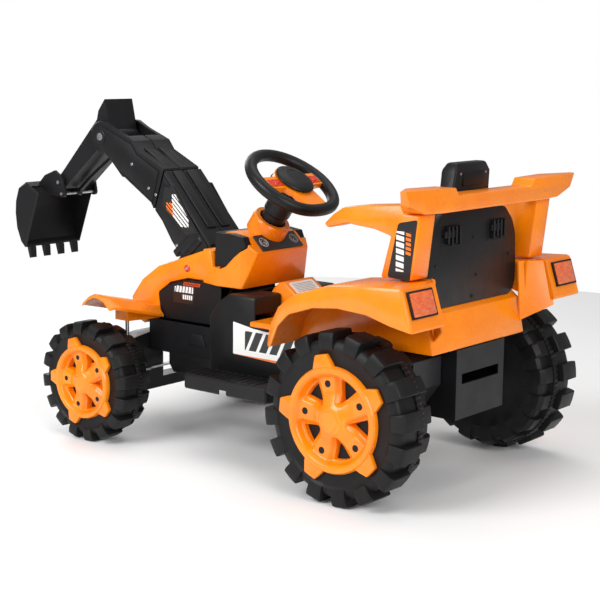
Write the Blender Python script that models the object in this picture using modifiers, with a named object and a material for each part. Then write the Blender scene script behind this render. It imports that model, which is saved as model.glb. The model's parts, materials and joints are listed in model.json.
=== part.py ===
"""Ride-on digger for a small child: every separate piece of the toy as its own Blender object.

Metres, +Z up.  -Y is forward and +X is the driver's left.  Sizes along Y and Z are written from the
rear axle's foot (y = 0 under the rear axle) or, for the nose and the arm, from the front axle's foot.
The empty "digger" carries everything and puts the middle of the overall length on the origin.
"""
import math

import bmesh
import bpy
from mathutils import Euler, Matrix, Vector

# ---------------------------------------------------------------- driving dimensions
WHEELBASE = 0.631            # front axle to rear axle
REAR_RADIUS = 0.150          # rear tyre over its lugs
FRONT_RADIUS = 0.118         # front tyre over its lugs
REAR_TYRE_WIDTH = 0.1090
FRONT_TYRE_WIDTH = 0.0890
REAR_FACE_X = 0.2916         # outer face of the rear hub caps
FRONT_FACE_X = 0.2714        # outer face of the front hub caps
AXLE_RADIUS = 0.005          # steel rear axle and front stub axles
KINGPIN_X = 0.142
KINGPIN_RADIUS = 0.004
STEER_ARM = 0.050            # kingpin to tie rod pin
CRANK = 0.029                # steering shaft to its bent end
TUB_HALF_WIDTH = 0.125
NOSE_HALF_WIDTH = 0.086
HOOD_HALF_WIDTH = 0.0975
HUMP_HALF_WIDTH = 0.046         # raised hump between the dash and the seat
DECK = 0.318                    # floor under the seat pan
BOOM_HALF_WIDTH = 0.055
STICK_HALF_WIDTH = 0.040
BUCKET_HALF_WIDTH = 0.0815
FENDER_OUTER_X = 0.279
POST_INNER_X = 0.165
POST_OUTER_X = 0.213
WALL = 0.003                 # moulded plastic wall
FIT = 0.0004                 # gap between pieces that touch
RUN = 0.0006                 # gap round a pin, rod or axle that turns
STEERING_RADIUS = 0.088      # middle of the rim
RIM_RADIUS = 0.012
COLUMN_TILT = math.radians(34.5)

NOMINAL_REAR_RADIUS = 0.150  # heights below are written for this wheel; LIFT raises the body with it
LIFT = REAR_RADIUS - NOMINAL_REAR_RADIUS
OVERALL_FRONT = WHEELBASE + 0.4092
OVERALL_REAR = 0.1502
ORIGIN_Y = (OVERALL_FRONT - OVERALL_REAR) / 2

PLANES = {                   # axes of a flat outline's (a, b) and of its thickness
    "YZ": Matrix(((0, 0, 1), (1, 0, 0), (0, 1, 0))).to_4x4(),
    "XZ": Matrix(((1, 0, 0), (0, 0, -1), (0, 1, 0))).to_4x4(),
    "XY": Matrix.Identity(4),
}
AXES = {
    "X": Matrix(((0, 0, 1), (0, 1, 0), (-1, 0, 0))).to_4x4(),
    "Y": Matrix(((1, 0, 0), (0, 0, 1), (0, -1, 0))).to_4x4(),
    "Z": Matrix.Identity(4),
}
SIDES = (("left", 1), ("right", -1))


# ---------------------------------------------------------------- places
def rear(y, z):
    """A (y, z) point of the rear body."""
    return (y, z + LIFT)


def front(y, z):
    """A (y, z) point of the nose or the arm, y written on the nominal 631 mm wheelbase."""
    return (y + 0.631 - WHEELBASE, z + LIFT)


STICK_PIVOT = front(-0.793, 0.580)
BUCKET_PIVOT = front(-0.932, 0.476)
LINK_TOP = front(-0.783, 0.556)
LINK_FOOT = front(-0.922, 0.452)
WHEEL_CENTRE = front(-0.322, 0.508)
FRONT_AXLE = (-WHEELBASE, FRONT_RADIUS)
REAR_AXLE = (0.0, REAR_RADIUS)
MOTOR = rear(0.040, 0.205)
SHAFT_END = (WHEEL_CENTRE[1] - 0.165 - LIFT) / math.cos(COLUMN_TILT)    # down the column from the wheel
CRANK_TIP = SHAFT_END + 0.026
CRANK_PIN_Y = WHEEL_CENTRE[0] + CRANK * math.cos(COLUMN_TILT) - (SHAFT_END + 0.018) * math.sin(COLUMN_TILT)


# ---------------------------------------------------------------- outlines
def arc(centre, radius, start, end, steps):
    """Points round a centre from one angle to another, in degrees."""
    angles = [math.radians(start + (end - start) * i / steps) for i in range(steps + 1)]
    return [(centre[0] + radius * math.cos(a), centre[1] + radius * math.sin(a)) for a in angles]


def circle(centre, radius, steps=16):
    """A closed round outline."""
    return arc(centre, radius, 0, 360 * (steps - 1) / steps, steps - 1)


def rectangle(low, high):
    """A closed outline between two corners."""
    return [low, (high[0], low[1]), high, (low[0], high[1])]


def mirrored(half):
    """A half outline from the middle line out to +a, closed by its mirror image."""
    return half + [(-a, b) for a, b in reversed(half) if a > 1e-6]


def offset(outline, distance):
    """A closed outline with every side moved outwards, or inwards when the distance is negative."""
    before = outline[-1:] + outline[:-1]
    after = outline[1:] + outline[:1]
    area = sum(p[0] * q[1] - q[0] * p[1] for p, q in zip(outline, after))
    turn = 1 if area > 0 else -1
    moved = []
    for last, here, following in zip(before, outline, after):
        one = (Vector(here) - Vector(last)).normalized()
        two = (Vector(following) - Vector(here)).normalized()
        out_one = Vector((one.y, -one.x)) * turn
        out_two = Vector((two.y, -two.x)) * turn
        shift = (out_one + out_two) * distance / (1 + out_one.dot(out_two))
        moved.append((here[0] + shift.x, here[1] + shift.y))
    return moved


# ---------------------------------------------------------------- Blender helpers
def clear_scene():
    """Remove whatever the scene holds."""
    for obj in list(bpy.data.objects):
        bpy.data.objects.remove(obj, do_unlink=True)


def new_material(name, colour, roughness, metallic=0.0):
    """A Principled material."""
    material = bpy.data.materials.new(name)
    material.use_nodes = True
    shader = material.node_tree.nodes["Principled BSDF"]
    shader.inputs["Base Color"].default_value = (*colour, 1.0)
    shader.inputs["Roughness"].default_value = roughness
    shader.inputs["Metallic"].default_value = metallic
    return material


FINISHES = {
    "orange_plastic": ((0.95, 0.33, 0.02), 0.35, 0.0),
    "black_plastic": ((0.03, 0.03, 0.033), 0.5, 0.0),
    "black_tyre": ((0.025, 0.025, 0.027), 0.6, 0.0),
    "grey_plastic": ((0.12, 0.12, 0.13), 0.5, 0.0),
    "red_plastic": ((0.7, 0.05, 0.03), 0.35, 0.0),
    "lamp_red": ((0.85, 0.16, 0.06), 0.2, 0.0),
    "steel": ((0.6, 0.6, 0.62), 0.3, 1.0),
}


def link(obj):
    """Put an object in the digger's collection."""
    bpy.data.collections["ride_on_digger"].objects.link(obj)
    return obj


def evaluated_mesh(obj):
    """The object's mesh with its modifiers, curve shape and caps worked out."""
    bpy.context.view_layer.update()
    graph = bpy.context.evaluated_depsgraph_get()
    return bpy.data.meshes.new_from_object(obj.evaluated_get(graph))


def baked(obj):
    """Turn a curve or a modified object into a plain mesh object with the same name and place."""
    mesh = evaluated_mesh(obj)
    name = obj.name
    matrix = obj.matrix_world.copy()
    bpy.data.objects.remove(obj, do_unlink=True)
    shape = bmesh.new()
    shape.from_mesh(mesh)
    bmesh.ops.remove_doubles(shape, verts=shape.verts, dist=0.00001)
    bmesh.ops.dissolve_limit(shape, angle_limit=0.001, verts=shape.verts, edges=shape.edges)
    bmesh.ops.transform(shape, matrix=matrix, verts=shape.verts)
    bmesh.ops.recalc_face_normals(shape, faces=shape.faces)
    shape.to_mesh(mesh)
    shape.free()
    mesh.name = name
    return link(bpy.data.objects.new(name, mesh))


def extruded(name, outline, plane, low, high, holes=()):
    """A flat outline, with holes, given a thickness from low to high along the plane's normal."""
    if plane == "XZ":
        low, high = -high, -low
    curve = bpy.data.curves.new(name, "CURVE")
    curve.dimensions = "2D"
    curve.fill_mode = "BOTH"
    curve.extrude = (high - low) / 2
    for loop in (outline, *holes):
        spline = curve.splines.new("POLY")
        spline.points.add(len(loop) - 1)
        spline.use_cyclic_u = True
        for point, place in zip(spline.points, loop):
            point.co = (place[0], place[1], 0, 1)
    obj = link(bpy.data.objects.new(name, curve))
    obj.matrix_world = PLANES[plane] @ Matrix.Translation((0, 0, (low + high) / 2))
    return baked(obj)


def box(name, low, high):
    """A box between two corners."""
    mesh = bpy.data.meshes.new(name)
    shape = bmesh.new()
    bmesh.ops.create_cube(shape, size=1.0)
    size = Vector(high) - Vector(low)
    middle = (Vector(high) + Vector(low)) / 2
    place = Matrix.Translation(middle) @ Matrix.Diagonal((*size, 1))
    bmesh.ops.transform(shape, matrix=place, verts=shape.verts)
    shape.to_mesh(mesh)
    shape.free()
    return link(bpy.data.objects.new(name, mesh))


def turned(name, profile, axis="Z", centre=(0, 0, 0), steps=24):
    """A profile of (radius, distance along the axis) points, turned with a Screw modifier.

    The points run down the outer side.  A profile that doesn't start and end on the axis is a ring."""
    mesh = bpy.data.meshes.new(name)
    points = [(radius, 0, along) for radius, along in profile]
    edges = [(i, i + 1) for i in range(len(points) - 1)]
    if profile[0][0] > 0 or profile[-1][0] > 0:
        edges.append((len(points) - 1, 0))
    mesh.from_pydata(points, edges, [])
    obj = link(bpy.data.objects.new(name, mesh))
    screw = obj.modifiers.new("turn", "SCREW")
    screw.steps = steps
    screw.render_steps = steps
    screw.use_merge_vertices = True
    screw.merge_threshold = 0.00001
    obj.matrix_world = Matrix.Translation(centre) @ AXES[axis]
    return baked(obj)


def rod(name, radius, low, high, axis="X", centre=(0, 0, 0), steps=16):
    """A plain round bar from low to high along its axis."""
    return turned(name, [(0, high), (radius, high), (radius, low), (0, low)], axis, centre, steps)


def tube(name, points, radius, resolution=2):
    """A round wire through points, with filled ends."""
    curve = bpy.data.curves.new(name, "CURVE")
    curve.dimensions = "3D"
    curve.bevel_depth = radius
    curve.bevel_resolution = resolution
    curve.use_fill_caps = True
    spline = curve.splines.new("POLY")
    spline.points.add(len(points) - 1)
    for point, place in zip(spline.points, points):
        point.co = (*place, 1)
    return baked(link(bpy.data.objects.new(name, curve)))


def combine(obj, other, operation):
    """Apply one Boolean to an object and drop the other piece."""
    name = obj.name
    step = obj.modifiers.new("combine", "BOOLEAN")
    step.object = other
    step.operation = operation
    result = baked(obj)
    bpy.data.objects.remove(other, do_unlink=True)
    result.name = name
    return result


def cut(obj, *cutters):
    """Take cutters away from an object."""
    for cutter in cutters:
        obj = combine(obj, cutter, "DIFFERENCE")
    return obj


def join(obj, *others):
    """Add overlapping pieces to an object as one body."""
    for other in others:
        obj = combine(obj, other, "UNION")
    return obj


def rounded(obj, width, segments=1, angle=35):
    """Bevel the sharper edges."""
    bevel = obj.modifiers.new("edges", "BEVEL")
    bevel.width = width
    bevel.segments = segments
    bevel.limit_method = "ANGLE"
    bevel.angle_limit = math.radians(angle)
    return baked(obj)


def symmetric(obj):
    """Keep the +X half and mirror it across the middle plane."""
    mirror = obj.modifiers.new("halves", "MIRROR")
    mirror.use_bisect_axis[0] = True
    mirror.use_clip = True
    mirror.merge_threshold = 0.00002
    mirror.bisect_threshold = 0.00001
    return baked(obj)


def finish(obj, finish_name, origin=(0, 0, 0), rotation=(0, 0, 0), local=False):
    """Give a piece its material, its origin and its parent.  Local pieces were modelled about it."""
    place = Matrix.Translation(origin) @ Euler(rotation).to_matrix().to_4x4()
    if not local:
        obj.data.transform(place.inverted())
    obj.data.materials.clear()
    obj.data.materials.append(bpy.data.materials[finish_name])
    obj.data.shade_smooth()
    obj.data.set_sharp_from_angle(angle=math.radians(35))
    obj.location = origin
    obj.rotation_euler = rotation
    obj.parent = bpy.data.objects["digger"]
    return obj


# ---------------------------------------------------------------- wheels
SPOKES = 5
LUGS = 16


def tyre(name, side, radius, width, outer_x, axle, hub_radius, tab_radius):
    """A blow-moulded tyre: a band of flat-topped lugs and a recessed wall round the hub."""
    face = outer_x - 0.0046
    inner_face = face - width
    groove = radius * 0.92
    lug = []
    for i in range(LUGS):
        middle = 270 + 360 * i / LUGS
        lug += arc(axle, radius / math.cos(math.radians(6)), middle - 6, middle + 6, 1)
        lug += arc(axle, groove, middle + 8, middle + 360 / LUGS - 8, 1)
    low, high = sorted((side * inner_face, side * face))
    band = extruded(name, lug, "YZ", low, high, [circle(axle, tab_radius + 0.0025, 24)])
    low, high = sorted((side * (inner_face + 0.005), side * (face - 0.010)))
    wall = extruded(name + "_wall", circle(axle, tab_radius + 0.006, 24), "YZ", low, high,
                    [circle(axle, hub_radius + 0.0012, 24)])
    return finish(join(band, wall), "black_tyre", (side * (outer_x - width / 2), *axle))


def hub(name, side, width, outer_x, axle, hub_radius, tab_radius):
    """A hub cap with five tabs, windows and holes, its barrel inside the tyre and its boss on the axle."""
    tabs = []
    holes = []
    step = 360 / SPOKES
    for i in range(SPOKES):
        middle = 102 + step * i
        tabs += arc(axle, hub_radius, middle - step / 2, middle - 14, 2)
        tabs += arc(axle, tab_radius, middle - 9, middle + 9, 2)
        tabs += arc(axle, hub_radius, middle + 14, middle + step / 2, 2)[:-1]
        holes.append(circle(arc(axle, hub_radius * 0.668, middle, middle, 1)[0], hub_radius * 0.062, 6))
        window = middle + step / 2
        holes.append(arc(axle, hub_radius * 0.80, window + 15, window - 15, 2)
                     + arc(axle, hub_radius * 0.38, window - 3, window + 3, 1))
    low, high = sorted((side * (outer_x - 0.0142), side * outer_x))
    cap = extruded(name, tabs, "YZ", low, high, holes)
    inner_x = outer_x - 0.0046 - width + 0.008
    low, high = sorted((side * inner_x, side * (outer_x - 0.0100)))
    barrel = extruded(name + "_barrel", circle(axle, hub_radius - 0.0005, 20), "YZ", low, high,
                      [circle(axle, hub_radius - 0.0045, 20)])
    boss = extruded(name + "_boss", circle(axle, 0.016, 10), "YZ", low, high)
    bore_end = side * (outer_x - 0.0130)
    low, high = sorted((side * (inner_x - 0.01), bore_end))
    bore = rod(name + "_bore", AXLE_RADIUS + RUN, low, high, "X", (0, *axle), 12)
    piece = cut(join(cap, barrel, boss), bore)
    return finish(piece, "orange_plastic", (side * (outer_x - width / 2), *axle))


def wheels():
    """Four wheels, each a tyre and a hub."""
    for side_name, side in SIDES:
        tyre("tyre_rear_" + side_name, side, REAR_RADIUS, REAR_TYRE_WIDTH, REAR_FACE_X, REAR_AXLE,
             0.092, 0.112)
        hub("hub_rear_" + side_name, side, REAR_TYRE_WIDTH, REAR_FACE_X, REAR_AXLE, 0.092, 0.112)
        tyre("tyre_front_" + side_name, side, FRONT_RADIUS, FRONT_TYRE_WIDTH, FRONT_FACE_X, FRONT_AXLE,
             0.0724, 0.088)
        hub("hub_front_" + side_name, side, FRONT_TYRE_WIDTH, FRONT_FACE_X, FRONT_AXLE, 0.0724, 0.088)
    reach = REAR_FACE_X - 0.0136
    finish(rod("rear_axle", AXLE_RADIUS, -reach, reach, "X", (0, *REAR_AXLE)), "steel")


# ---------------------------------------------------------------- chassis
TUB_FLOOR = 0.150
TUB_REAR = -0.100
BLOCK_HALF_WIDTH = 0.078
BEAM_REAR = -WHEELBASE + 0.0205


def tub():
    """The black lower body: a narrow front, a wide middle and a narrow rear block round the axle."""
    middle = [front(-0.425, TUB_FLOOR), front(-0.425, 0.255), front(-0.405, 0.285), front(-0.375, 0.303),
              rear(-0.3085, 0.303), rear(-0.3085, 0.252), rear(TUB_REAR, 0.252), rear(TUB_REAR, TUB_FLOOR)]
    nose = [front(-0.610, 0.162), front(-0.610, 0.2255), front(-0.415, 0.2255), front(-0.415, 0.162)]
    block = [rear(TUB_REAR - 0.01, 0.128), rear(TUB_REAR - 0.01, 0.252), rear(0.110, 0.252),
             rear(0.110, 0.128)]
    body = extruded("chassis_tub", middle, "YZ", -TUB_HALF_WIDTH, TUB_HALF_WIDTH)
    body = rounded(body, 0.006, 2)
    body = join(body, extruded("nose", nose, "YZ", -0.100, 0.100),
                extruded("block", block, "YZ", -BLOCK_HALF_WIDTH, BLOCK_HALF_WIDTH))
    hollow = [front(-0.4215, TUB_FLOOR + 0.0035), front(-0.4215, 0.2535), front(-0.4025, 0.2820),
              front(-0.374, 0.2995), rear(-0.312, 0.2995), rear(-0.312, 0.270),
              rear(TUB_REAR - 0.0035, 0.270), rear(TUB_REAR - 0.0035, TUB_FLOOR + 0.0035)]
    inside = TUB_HALF_WIDTH - 0.0035
    body = cut(body, extruded("hollow", hollow, "YZ", -inside, inside))
    nose_hollow = rectangle(front(-0.6065, 0.1655), front(-0.400, 0.240))
    body = cut(body, extruded("nose_hollow", nose_hollow, "YZ", -0.0965, 0.0965))
    block_hollow = rectangle(rear(TUB_REAR - 0.020, 0.170), rear(0.1065, 0.270))
    inside = BLOCK_HALF_WIDTH - 0.0035
    body = cut(body, extruded("block_hollow", block_hollow, "YZ", -inside, inside))
    body = cut(body, rod("axle_bore", AXLE_RADIUS + RUN, -0.2, 0.2, "X", (0, *REAR_AXLE)))
    body = cut(body, box("rear_slot", (-0.060, 0.100, 0.190 + LIFT), (0.060, 0.120, 0.208 + LIFT)))
    motor_y, motor_z = MOTOR
    body = cut(body, rod("motor_bore", 0.009, 0.05, 0.1, "X", (0, motor_y, motor_z)))
    low = front(-0.578, 0.100)
    high = front(-0.505, 0.180)
    body = cut(body, box("shaft_window", (-0.034, *low), (0.034, *high)))
    for _, side in SIDES:
        low, high = sorted((side * (SEAT_HALF_WIDTH - 0.002 - FIT), side * (SEAT_HALF_WIDTH + 0.1)))
        body = cut(body, box("arch_gap", (low, -0.200, 0.236 + LIFT), (high, 0.200, 0.260 + LIFT)))
    body = cut(body, box("hump_notch", (-HUMP_HALF_WIDTH - 0.002, -0.3665, 0.2520 + LIFT),
                         (HUMP_HALF_WIDTH + 0.002, -0.300, 0.320 + LIFT)))
    finish(body, "black_plastic")


def steps():
    """Foot boards along both sides, ribbed on top and notched below for their bolt."""
    top = 0.155 + LIFT
    bottom = 0.125 + LIFT
    inner = TUB_HALF_WIDTH + FIT
    outer = inner + 0.0696
    front_y = front(-0.435, 0)[0]
    for side_name, side in SIDES:
        outline = [(inner, front_y + 0.012), (inner + 0.03, front_y), (outer, front_y + 0.010),
                   (outer, -0.222), (inner + 0.04, -0.210), (inner, -0.210)]
        outline = [(side * x, y) for x, y in outline]
        board = rounded(extruded("step_" + side_name, outline, "XY", bottom, top), 0.003, 1, 60)
        x_low, x_high = sorted((side * (inner + 0.006), side * (outer - 0.006)))
        under = offset(outline, -0.003)
        board = cut(board, extruded("under", under, "XY", bottom - 0.01, top - 0.004))
        notch_y = (front_y - 0.222) / 2 - 0.008
        board = cut(board, box("notch", (side * outer - 0.02, notch_y, bottom - 0.01),
                               (side * outer + 0.02, notch_y + 0.018, bottom + 0.010)))
        ribs = int((-0.222 - front_y) / 0.016) - 2
        for i in range(ribs):
            y = front_y + 0.018 + 0.016 * i
            board = cut(board, box("rib", (x_low, y, top - 0.0015), (x_high, y + 0.006, top + 0.01)))
        finish(board, "black_plastic")


def drive():
    """Battery, motor and gearbox of the left rear wheel."""
    battery = box("battery", (-0.048, -0.290, TUB_FLOOR + LIFT + 0.0035 + FIT),
                  (0.048, -0.140, TUB_FLOOR + LIFT + 0.0755))
    finish(rounded(battery, 0.003), "grey_plastic")
    y, z = MOTOR
    profile = [(0, 0.0800), (0.0080, 0.0800), (0.0080, 0.0735), (0.0180, 0.0735), (0.0180, 0.0250),
               (0, 0.0250)]
    finish(turned("drive_motor", profile, "X", (0, y, z), 24), "steel")
    outer = REAR_FACE_X - 0.0046 - REAR_TYRE_WIDTH - 0.012
    outline = arc(REAR_AXLE, 0.042, 200, 340, 8) + [rear(0.080, 0.190), rear(0.080, 0.240),
                                                    rear(0.010, 0.245), rear(-0.045, 0.200)]
    case = extruded("gearbox", outline, "YZ", BLOCK_HALF_WIDTH + 0.003, outer,
                    [circle(REAR_AXLE, AXLE_RADIUS + RUN, 16)])
    finish(rounded(case, 0.003), "grey_plastic")


# ---------------------------------------------------------------- front axle and steering
BEAM_LOW = 0.078
BEAM_HIGH = 0.196
TIE_ROD_Z = 0.133


def front_beam():
    """The cross beam: two short forks that hold the kingpins, lower in the middle under a low bonnet."""
    reach = KINGPIN_X + 0.016
    middle = BEAM_HIGH + min(LIFT, 0)
    half = [(0, BEAM_LOW), (reach, BEAM_LOW), (reach, BEAM_LOW + 0.014),
            (KINGPIN_X - 0.022, BEAM_LOW + 0.014), (KINGPIN_X - 0.026, BEAM_LOW + 0.018),
            (KINGPIN_X - 0.026, 0.162), (reach, 0.168), (reach, BEAM_HIGH - 0.008), (0.104, BEAM_HIGH),
            (0.100, middle), (0, middle)]
    beam = extruded("front_beam", mirrored(half), "XZ", BEAM_REAR - 0.0395, BEAM_REAR - FIT)
    for _, side in SIDES:
        beam = cut(beam, rod("kingpin_bore", KINGPIN_RADIUS + RUN, 0.05, 0.25, "Z",
                             (side * KINGPIN_X, -WHEELBASE, 0)))
    beam = cut(beam, box("shaft_gap", (-0.060, -WHEELBASE - 0.03, BEAM_LOW + 0.022), (0.060, -0.5, 0.165)))
    finish(beam, "black_plastic")


def knuckle(side_name, side):
    """Stub axle, kingpin barrel and steering arm of one front wheel."""
    x = side * KINGPIN_X
    name = "knuckle_" + side_name
    body = rod(name, 0.012, BEAM_LOW + 0.0145, 0.1670 - 0.0065, "Z", (x, -WHEELBASE, 0), 20)
    low, high = sorted((x, side * (FRONT_FACE_X - 0.0136)))
    stub = rod("stub", AXLE_RADIUS, low, high, "X", (0, *FRONT_AXLE))
    arm = extruded("arm", steering_arm(x), "XY", TIE_ROD_Z - 0.013, TIE_ROD_Z - 0.005)
    pin = rod("pin", 0.003, TIE_ROD_Z - 0.007, TIE_ROD_Z + 0.007, "Z", (x, -WHEELBASE + STEER_ARM, 0), 12)
    body = join(body, stub, arm, pin)
    body = cut(body, rod("bore", KINGPIN_RADIUS + RUN, 0.0, 0.3, "Z", (x, -WHEELBASE, 0)))
    finish(body, "grey_plastic", (x, -WHEELBASE, FRONT_RADIUS))


def steering_arm(x):
    """The steering arm's outline: a bar from the kingpin back to the tie rod pin."""
    eye = (x, -WHEELBASE + STEER_ARM)
    return [(x + 0.007, -WHEELBASE + 0.009), *arc(eye, 0.006, 0, 180, 6), (x - 0.007, -WHEELBASE + 0.009)]


def steering_gear():
    """Kingpins, knuckles and the tie rod with its slotted eyes."""
    for side_name, side in SIDES:
        knuckle(side_name, side)
        pin = rod("kingpin_" + side_name, KINGPIN_RADIUS, BEAM_LOW - 0.006, 0.2256 + LIFT, "Z",
                  (side * KINGPIN_X, -WHEELBASE, 0))
        finish(pin, "steel")
    bar_y = -WHEELBASE + STEER_ARM
    half = [(0, bar_y - 0.006), (KINGPIN_X - 0.012, bar_y - 0.006), (KINGPIN_X - 0.004, bar_y - 0.012),
            (KINGPIN_X + 0.009, bar_y - 0.012), (KINGPIN_X + 0.009, bar_y + 0.012),
            (KINGPIN_X - 0.004, bar_y + 0.012), (KINGPIN_X - 0.012, bar_y + 0.006), (0.018, bar_y + 0.006),
            (0.014, CRANK_PIN_Y + 0.022), (0, CRANK_PIN_Y + 0.022)]
    slots = [rectangle((-0.0052, CRANK_PIN_Y - 0.018), (0.0052, CRANK_PIN_Y + 0.016))]
    for _, side in SIDES:
        x = side * KINGPIN_X
        slots.append(rectangle((x - 0.0040, bar_y - 0.0085), (x + 0.0040, bar_y + 0.0075)))
    bar = extruded("tie_rod", mirrored(half), "XY", TIE_ROD_Z - 0.002, TIE_ROD_Z + 0.002, slots)
    finish(bar, "steel", (0, bar_y, TIE_ROD_Z))


def steering_wheel():
    """Rim, orange insert, horn pad, two buttons, stem and the cranked shaft, all about the column."""
    place = dict(origin=(0, *WHEEL_CENTRE), rotation=(-COLUMN_TILT, 0, 0), local=True)
    bpy.ops.mesh.primitive_torus_add(major_radius=STEERING_RADIUS, minor_radius=RIM_RADIUS,
                                     major_segments=28, minor_segments=8)
    rim = bpy.context.object
    rim.name = "steering_rim"
    bpy.context.collection.objects.unlink(rim)
    finish(link(rim), "black_plastic", **place)

    reach = STEERING_RADIUS - RIM_RADIUS - FIT
    insert = (arc((0, 0), reach, -14, 10, 2) + arc((0, 0), 0.042, 22, 48, 2) + arc((0, 0), reach, 68, 112, 4)
              + arc((0, 0), 0.042, 132, 158, 2) + arc((0, 0), reach, 170, 194, 2)
              + arc((0, 0), 0.042, 206, 334, 6))
    button_x = 0.056
    holes = [circle((0, 0), 0.0345, 24)] + [circle((side * button_x, 0), 0.0076, 12) for _, side in SIDES]
    finish(extruded("wheel_insert", insert, "XY", -0.006, 0.006, holes), "orange_plastic", **place)
    pad = turned("horn_pad", [(0, 0.0120), (0.020, 0.0115), (0.032, 0.0085), (0.0340, 0.0060),
                              (0.0340, -0.0040), (0, -0.0040)])
    finish(pad, "black_plastic", **place)
    for side_name, side in SIDES:
        button = turned("wheel_button_" + side_name, [(0, 0.0090), (0.0055, 0.0088), (0.0070, 0.0075),
                                                      (0.0070, -0.0040), (0, -0.0040)], steps=12)
        button.data.transform(Matrix.Translation((side * button_x, 0, 0)))
        finish(button, "red_plastic", **place)
    profile = [(0.0056, -0.0068), (0.0440, -0.0068), (0.0440, -0.0095), (0.0300, -0.0140), (0.0300, -0.0400),
               (0.0270, -0.0440), (0.0270, -0.0680), (0.0240, -0.0720), (0.0240, -0.1180), (0.0056, -0.1180)]
    stem = turned("steering_stem", profile, steps=24)
    finish(stem, "black_plastic", **place)
    shaft = tube("steering_shaft", [(0, 0, -0.012), (0, 0, -SHAFT_END), (0, CRANK, -SHAFT_END),
                                    (0, CRANK, -CRANK_TIP)], 0.004)
    finish(shaft, "steel", **place)


# ---------------------------------------------------------------- nose and hood
BOOM_UPPER = ([front(-0.6425, 0.4385), front(-0.6145, 0.5215), front(-0.684, 0.555), front(-0.699, 0.575),
               front(-0.758, 0.598)] + arc(STICK_PIVOT, 0.033, 72, 288, 12)
              + [front(-0.734, 0.5005), front(-0.726, 0.499), front(-0.650, 0.452)])
BOOM_LOWER = [front(-0.6115, 0.520), front(-0.485, 0.381), front(-0.478, 0.335), front(-0.556, 0.335),
              front(-0.563, 0.345), front(-0.593, 0.379), front(-0.619, 0.417), front(-0.6395, 0.4380)]
BONNET = [front(-0.462, 0.378), front(-0.533, 0.354), front(-0.600, 0.331), front(-0.645, 0.300),
          front(-0.675, 0.262), front(-0.672, 0.222), front(-0.640, 0.209), front(-0.612, 0.2160),
          front(-0.612, 0.2262), front(-0.591, 0.2265),
          front(-0.599, 0.277), front(-0.565, 0.301), front(-0.518, 0.3135), front(-0.462, 0.3125)]
HOOD = [front(-0.366, 0.309), front(-0.343, 0.378), front(-0.372, 0.407), front(-0.398, 0.413),
        front(-0.428, 0.413), front(-0.430, 0.345), front(-0.441, 0.345), front(-0.4455, 0.376),
        front(-0.465, 0.379), front(-0.465, 0.3125), front(-0.433, 0.309)]
HOOD_NOTCH = [front(-0.446, 0.430), front(-0.4455, 0.376), front(-0.441, 0.362), front(-0.430, 0.347),
              front(-0.421, 0.343), front(-0.405, 0.350), front(-0.385, 0.369), front(-0.358, 0.389),
              front(-0.366, 0.430)]


def hood():
    """The orange front moulding: bonnet, nose and dash housing with a collar round the column."""
    rear_y = front(-0.330, 0)[0]
    plan = mirrored([(0, rear_y), (0.065, rear_y), (HOOD_HALF_WIDTH, rear_y - 0.040),
                     (HOOD_HALF_WIDTH, rear_y - 0.135), (0, rear_y - 0.135)])
    shell = extruded("hood", HOOD, "YZ", -0.2, 0.2)
    shell = combine(shell, extruded("plan", plan, "XY", 0.25 + LIFT, 0.50 + LIFT), "INTERSECT")
    shell = rounded(shell, 0.004, 2, 25)
    nose = rounded(extruded("bonnet", BONNET, "YZ", -NOSE_HALF_WIDTH, NOSE_HALF_WIDTH), 0.006, 2, 50)
    shell = join(shell, nose)
    profile = [(0, -0.086), (0.036, -0.086), (0.039, -0.090), (0.039, -0.122), (0, -0.122)]
    collar = turned("collar", profile, steps=28)
    column = Matrix.Translation((0, *WHEEL_CENTRE)) @ Matrix.Rotation(-COLUMN_TILT, 4, "X")
    collar.data.transform(column)
    shell = join(shell, collar)
    inner_nose = [front(-0.458, 0.374), front(-0.534, 0.3505), front(-0.5985, 0.3280), front(-0.6425, 0.298),
                  front(-0.6715, 0.261), front(-0.6685, 0.180), front(-0.440, 0.180), front(-0.440, 0.3420),
                  front(-0.4450, 0.3420), front(-0.4487, 0.3735)]
    inside = NOSE_HALF_WIDTH - WALL
    shell = cut(shell, extruded("inner_nose", inner_nose, "YZ", -inside, inside))
    inner_side = [front(-0.370, 0.250), front(-0.3697, 0.309), front(-0.3468, 0.3775),
                  front(-0.3735, 0.4035), front(-0.398, 0.4095), front(-0.4245, 0.4095),
                  front(-0.4265, 0.3415), front(-0.4615, 0.3415), front(-0.4615, 0.250)]
    inner_plan = offset(plan, -WALL)
    inner = extruded("inner_side", inner_side, "YZ", -0.2, 0.2)
    inner = combine(inner, extruded("inner_plan", inner_plan, "XY", 0.2 + LIFT, 0.50 + LIFT), "INTERSECT")
    shell = cut(shell, inner)
    for _, side in SIDES:
        low, high = sorted((side * 0.072, side * 0.11))
        shell = cut(shell, extruded("notch", HOOD_NOTCH, "YZ", low, high))
    gap = BOOM_HALF_WIDTH + FIT
    shell = cut(shell, extruded("boom_gap", offset(BOOM_LOWER, FIT + 0.0004), "YZ", -gap, gap))
    bore = rod("column_bore", 0.0275, -0.150, -0.060, "Z", steps=28)
    bore.data.transform(column)
    shell = cut(shell, bore, shaft_space())
    finish(shell, "orange_plastic")


def shaft_space():
    """The clear space round the steering shaft below the stem."""
    space = rod("shaft_space", 0.009, -0.300, -0.125, "Z")
    space.data.transform(Matrix.Translation((0, *WHEEL_CENTRE)) @ Matrix.Rotation(-COLUMN_TILT, 4, "X"))
    return space


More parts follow.
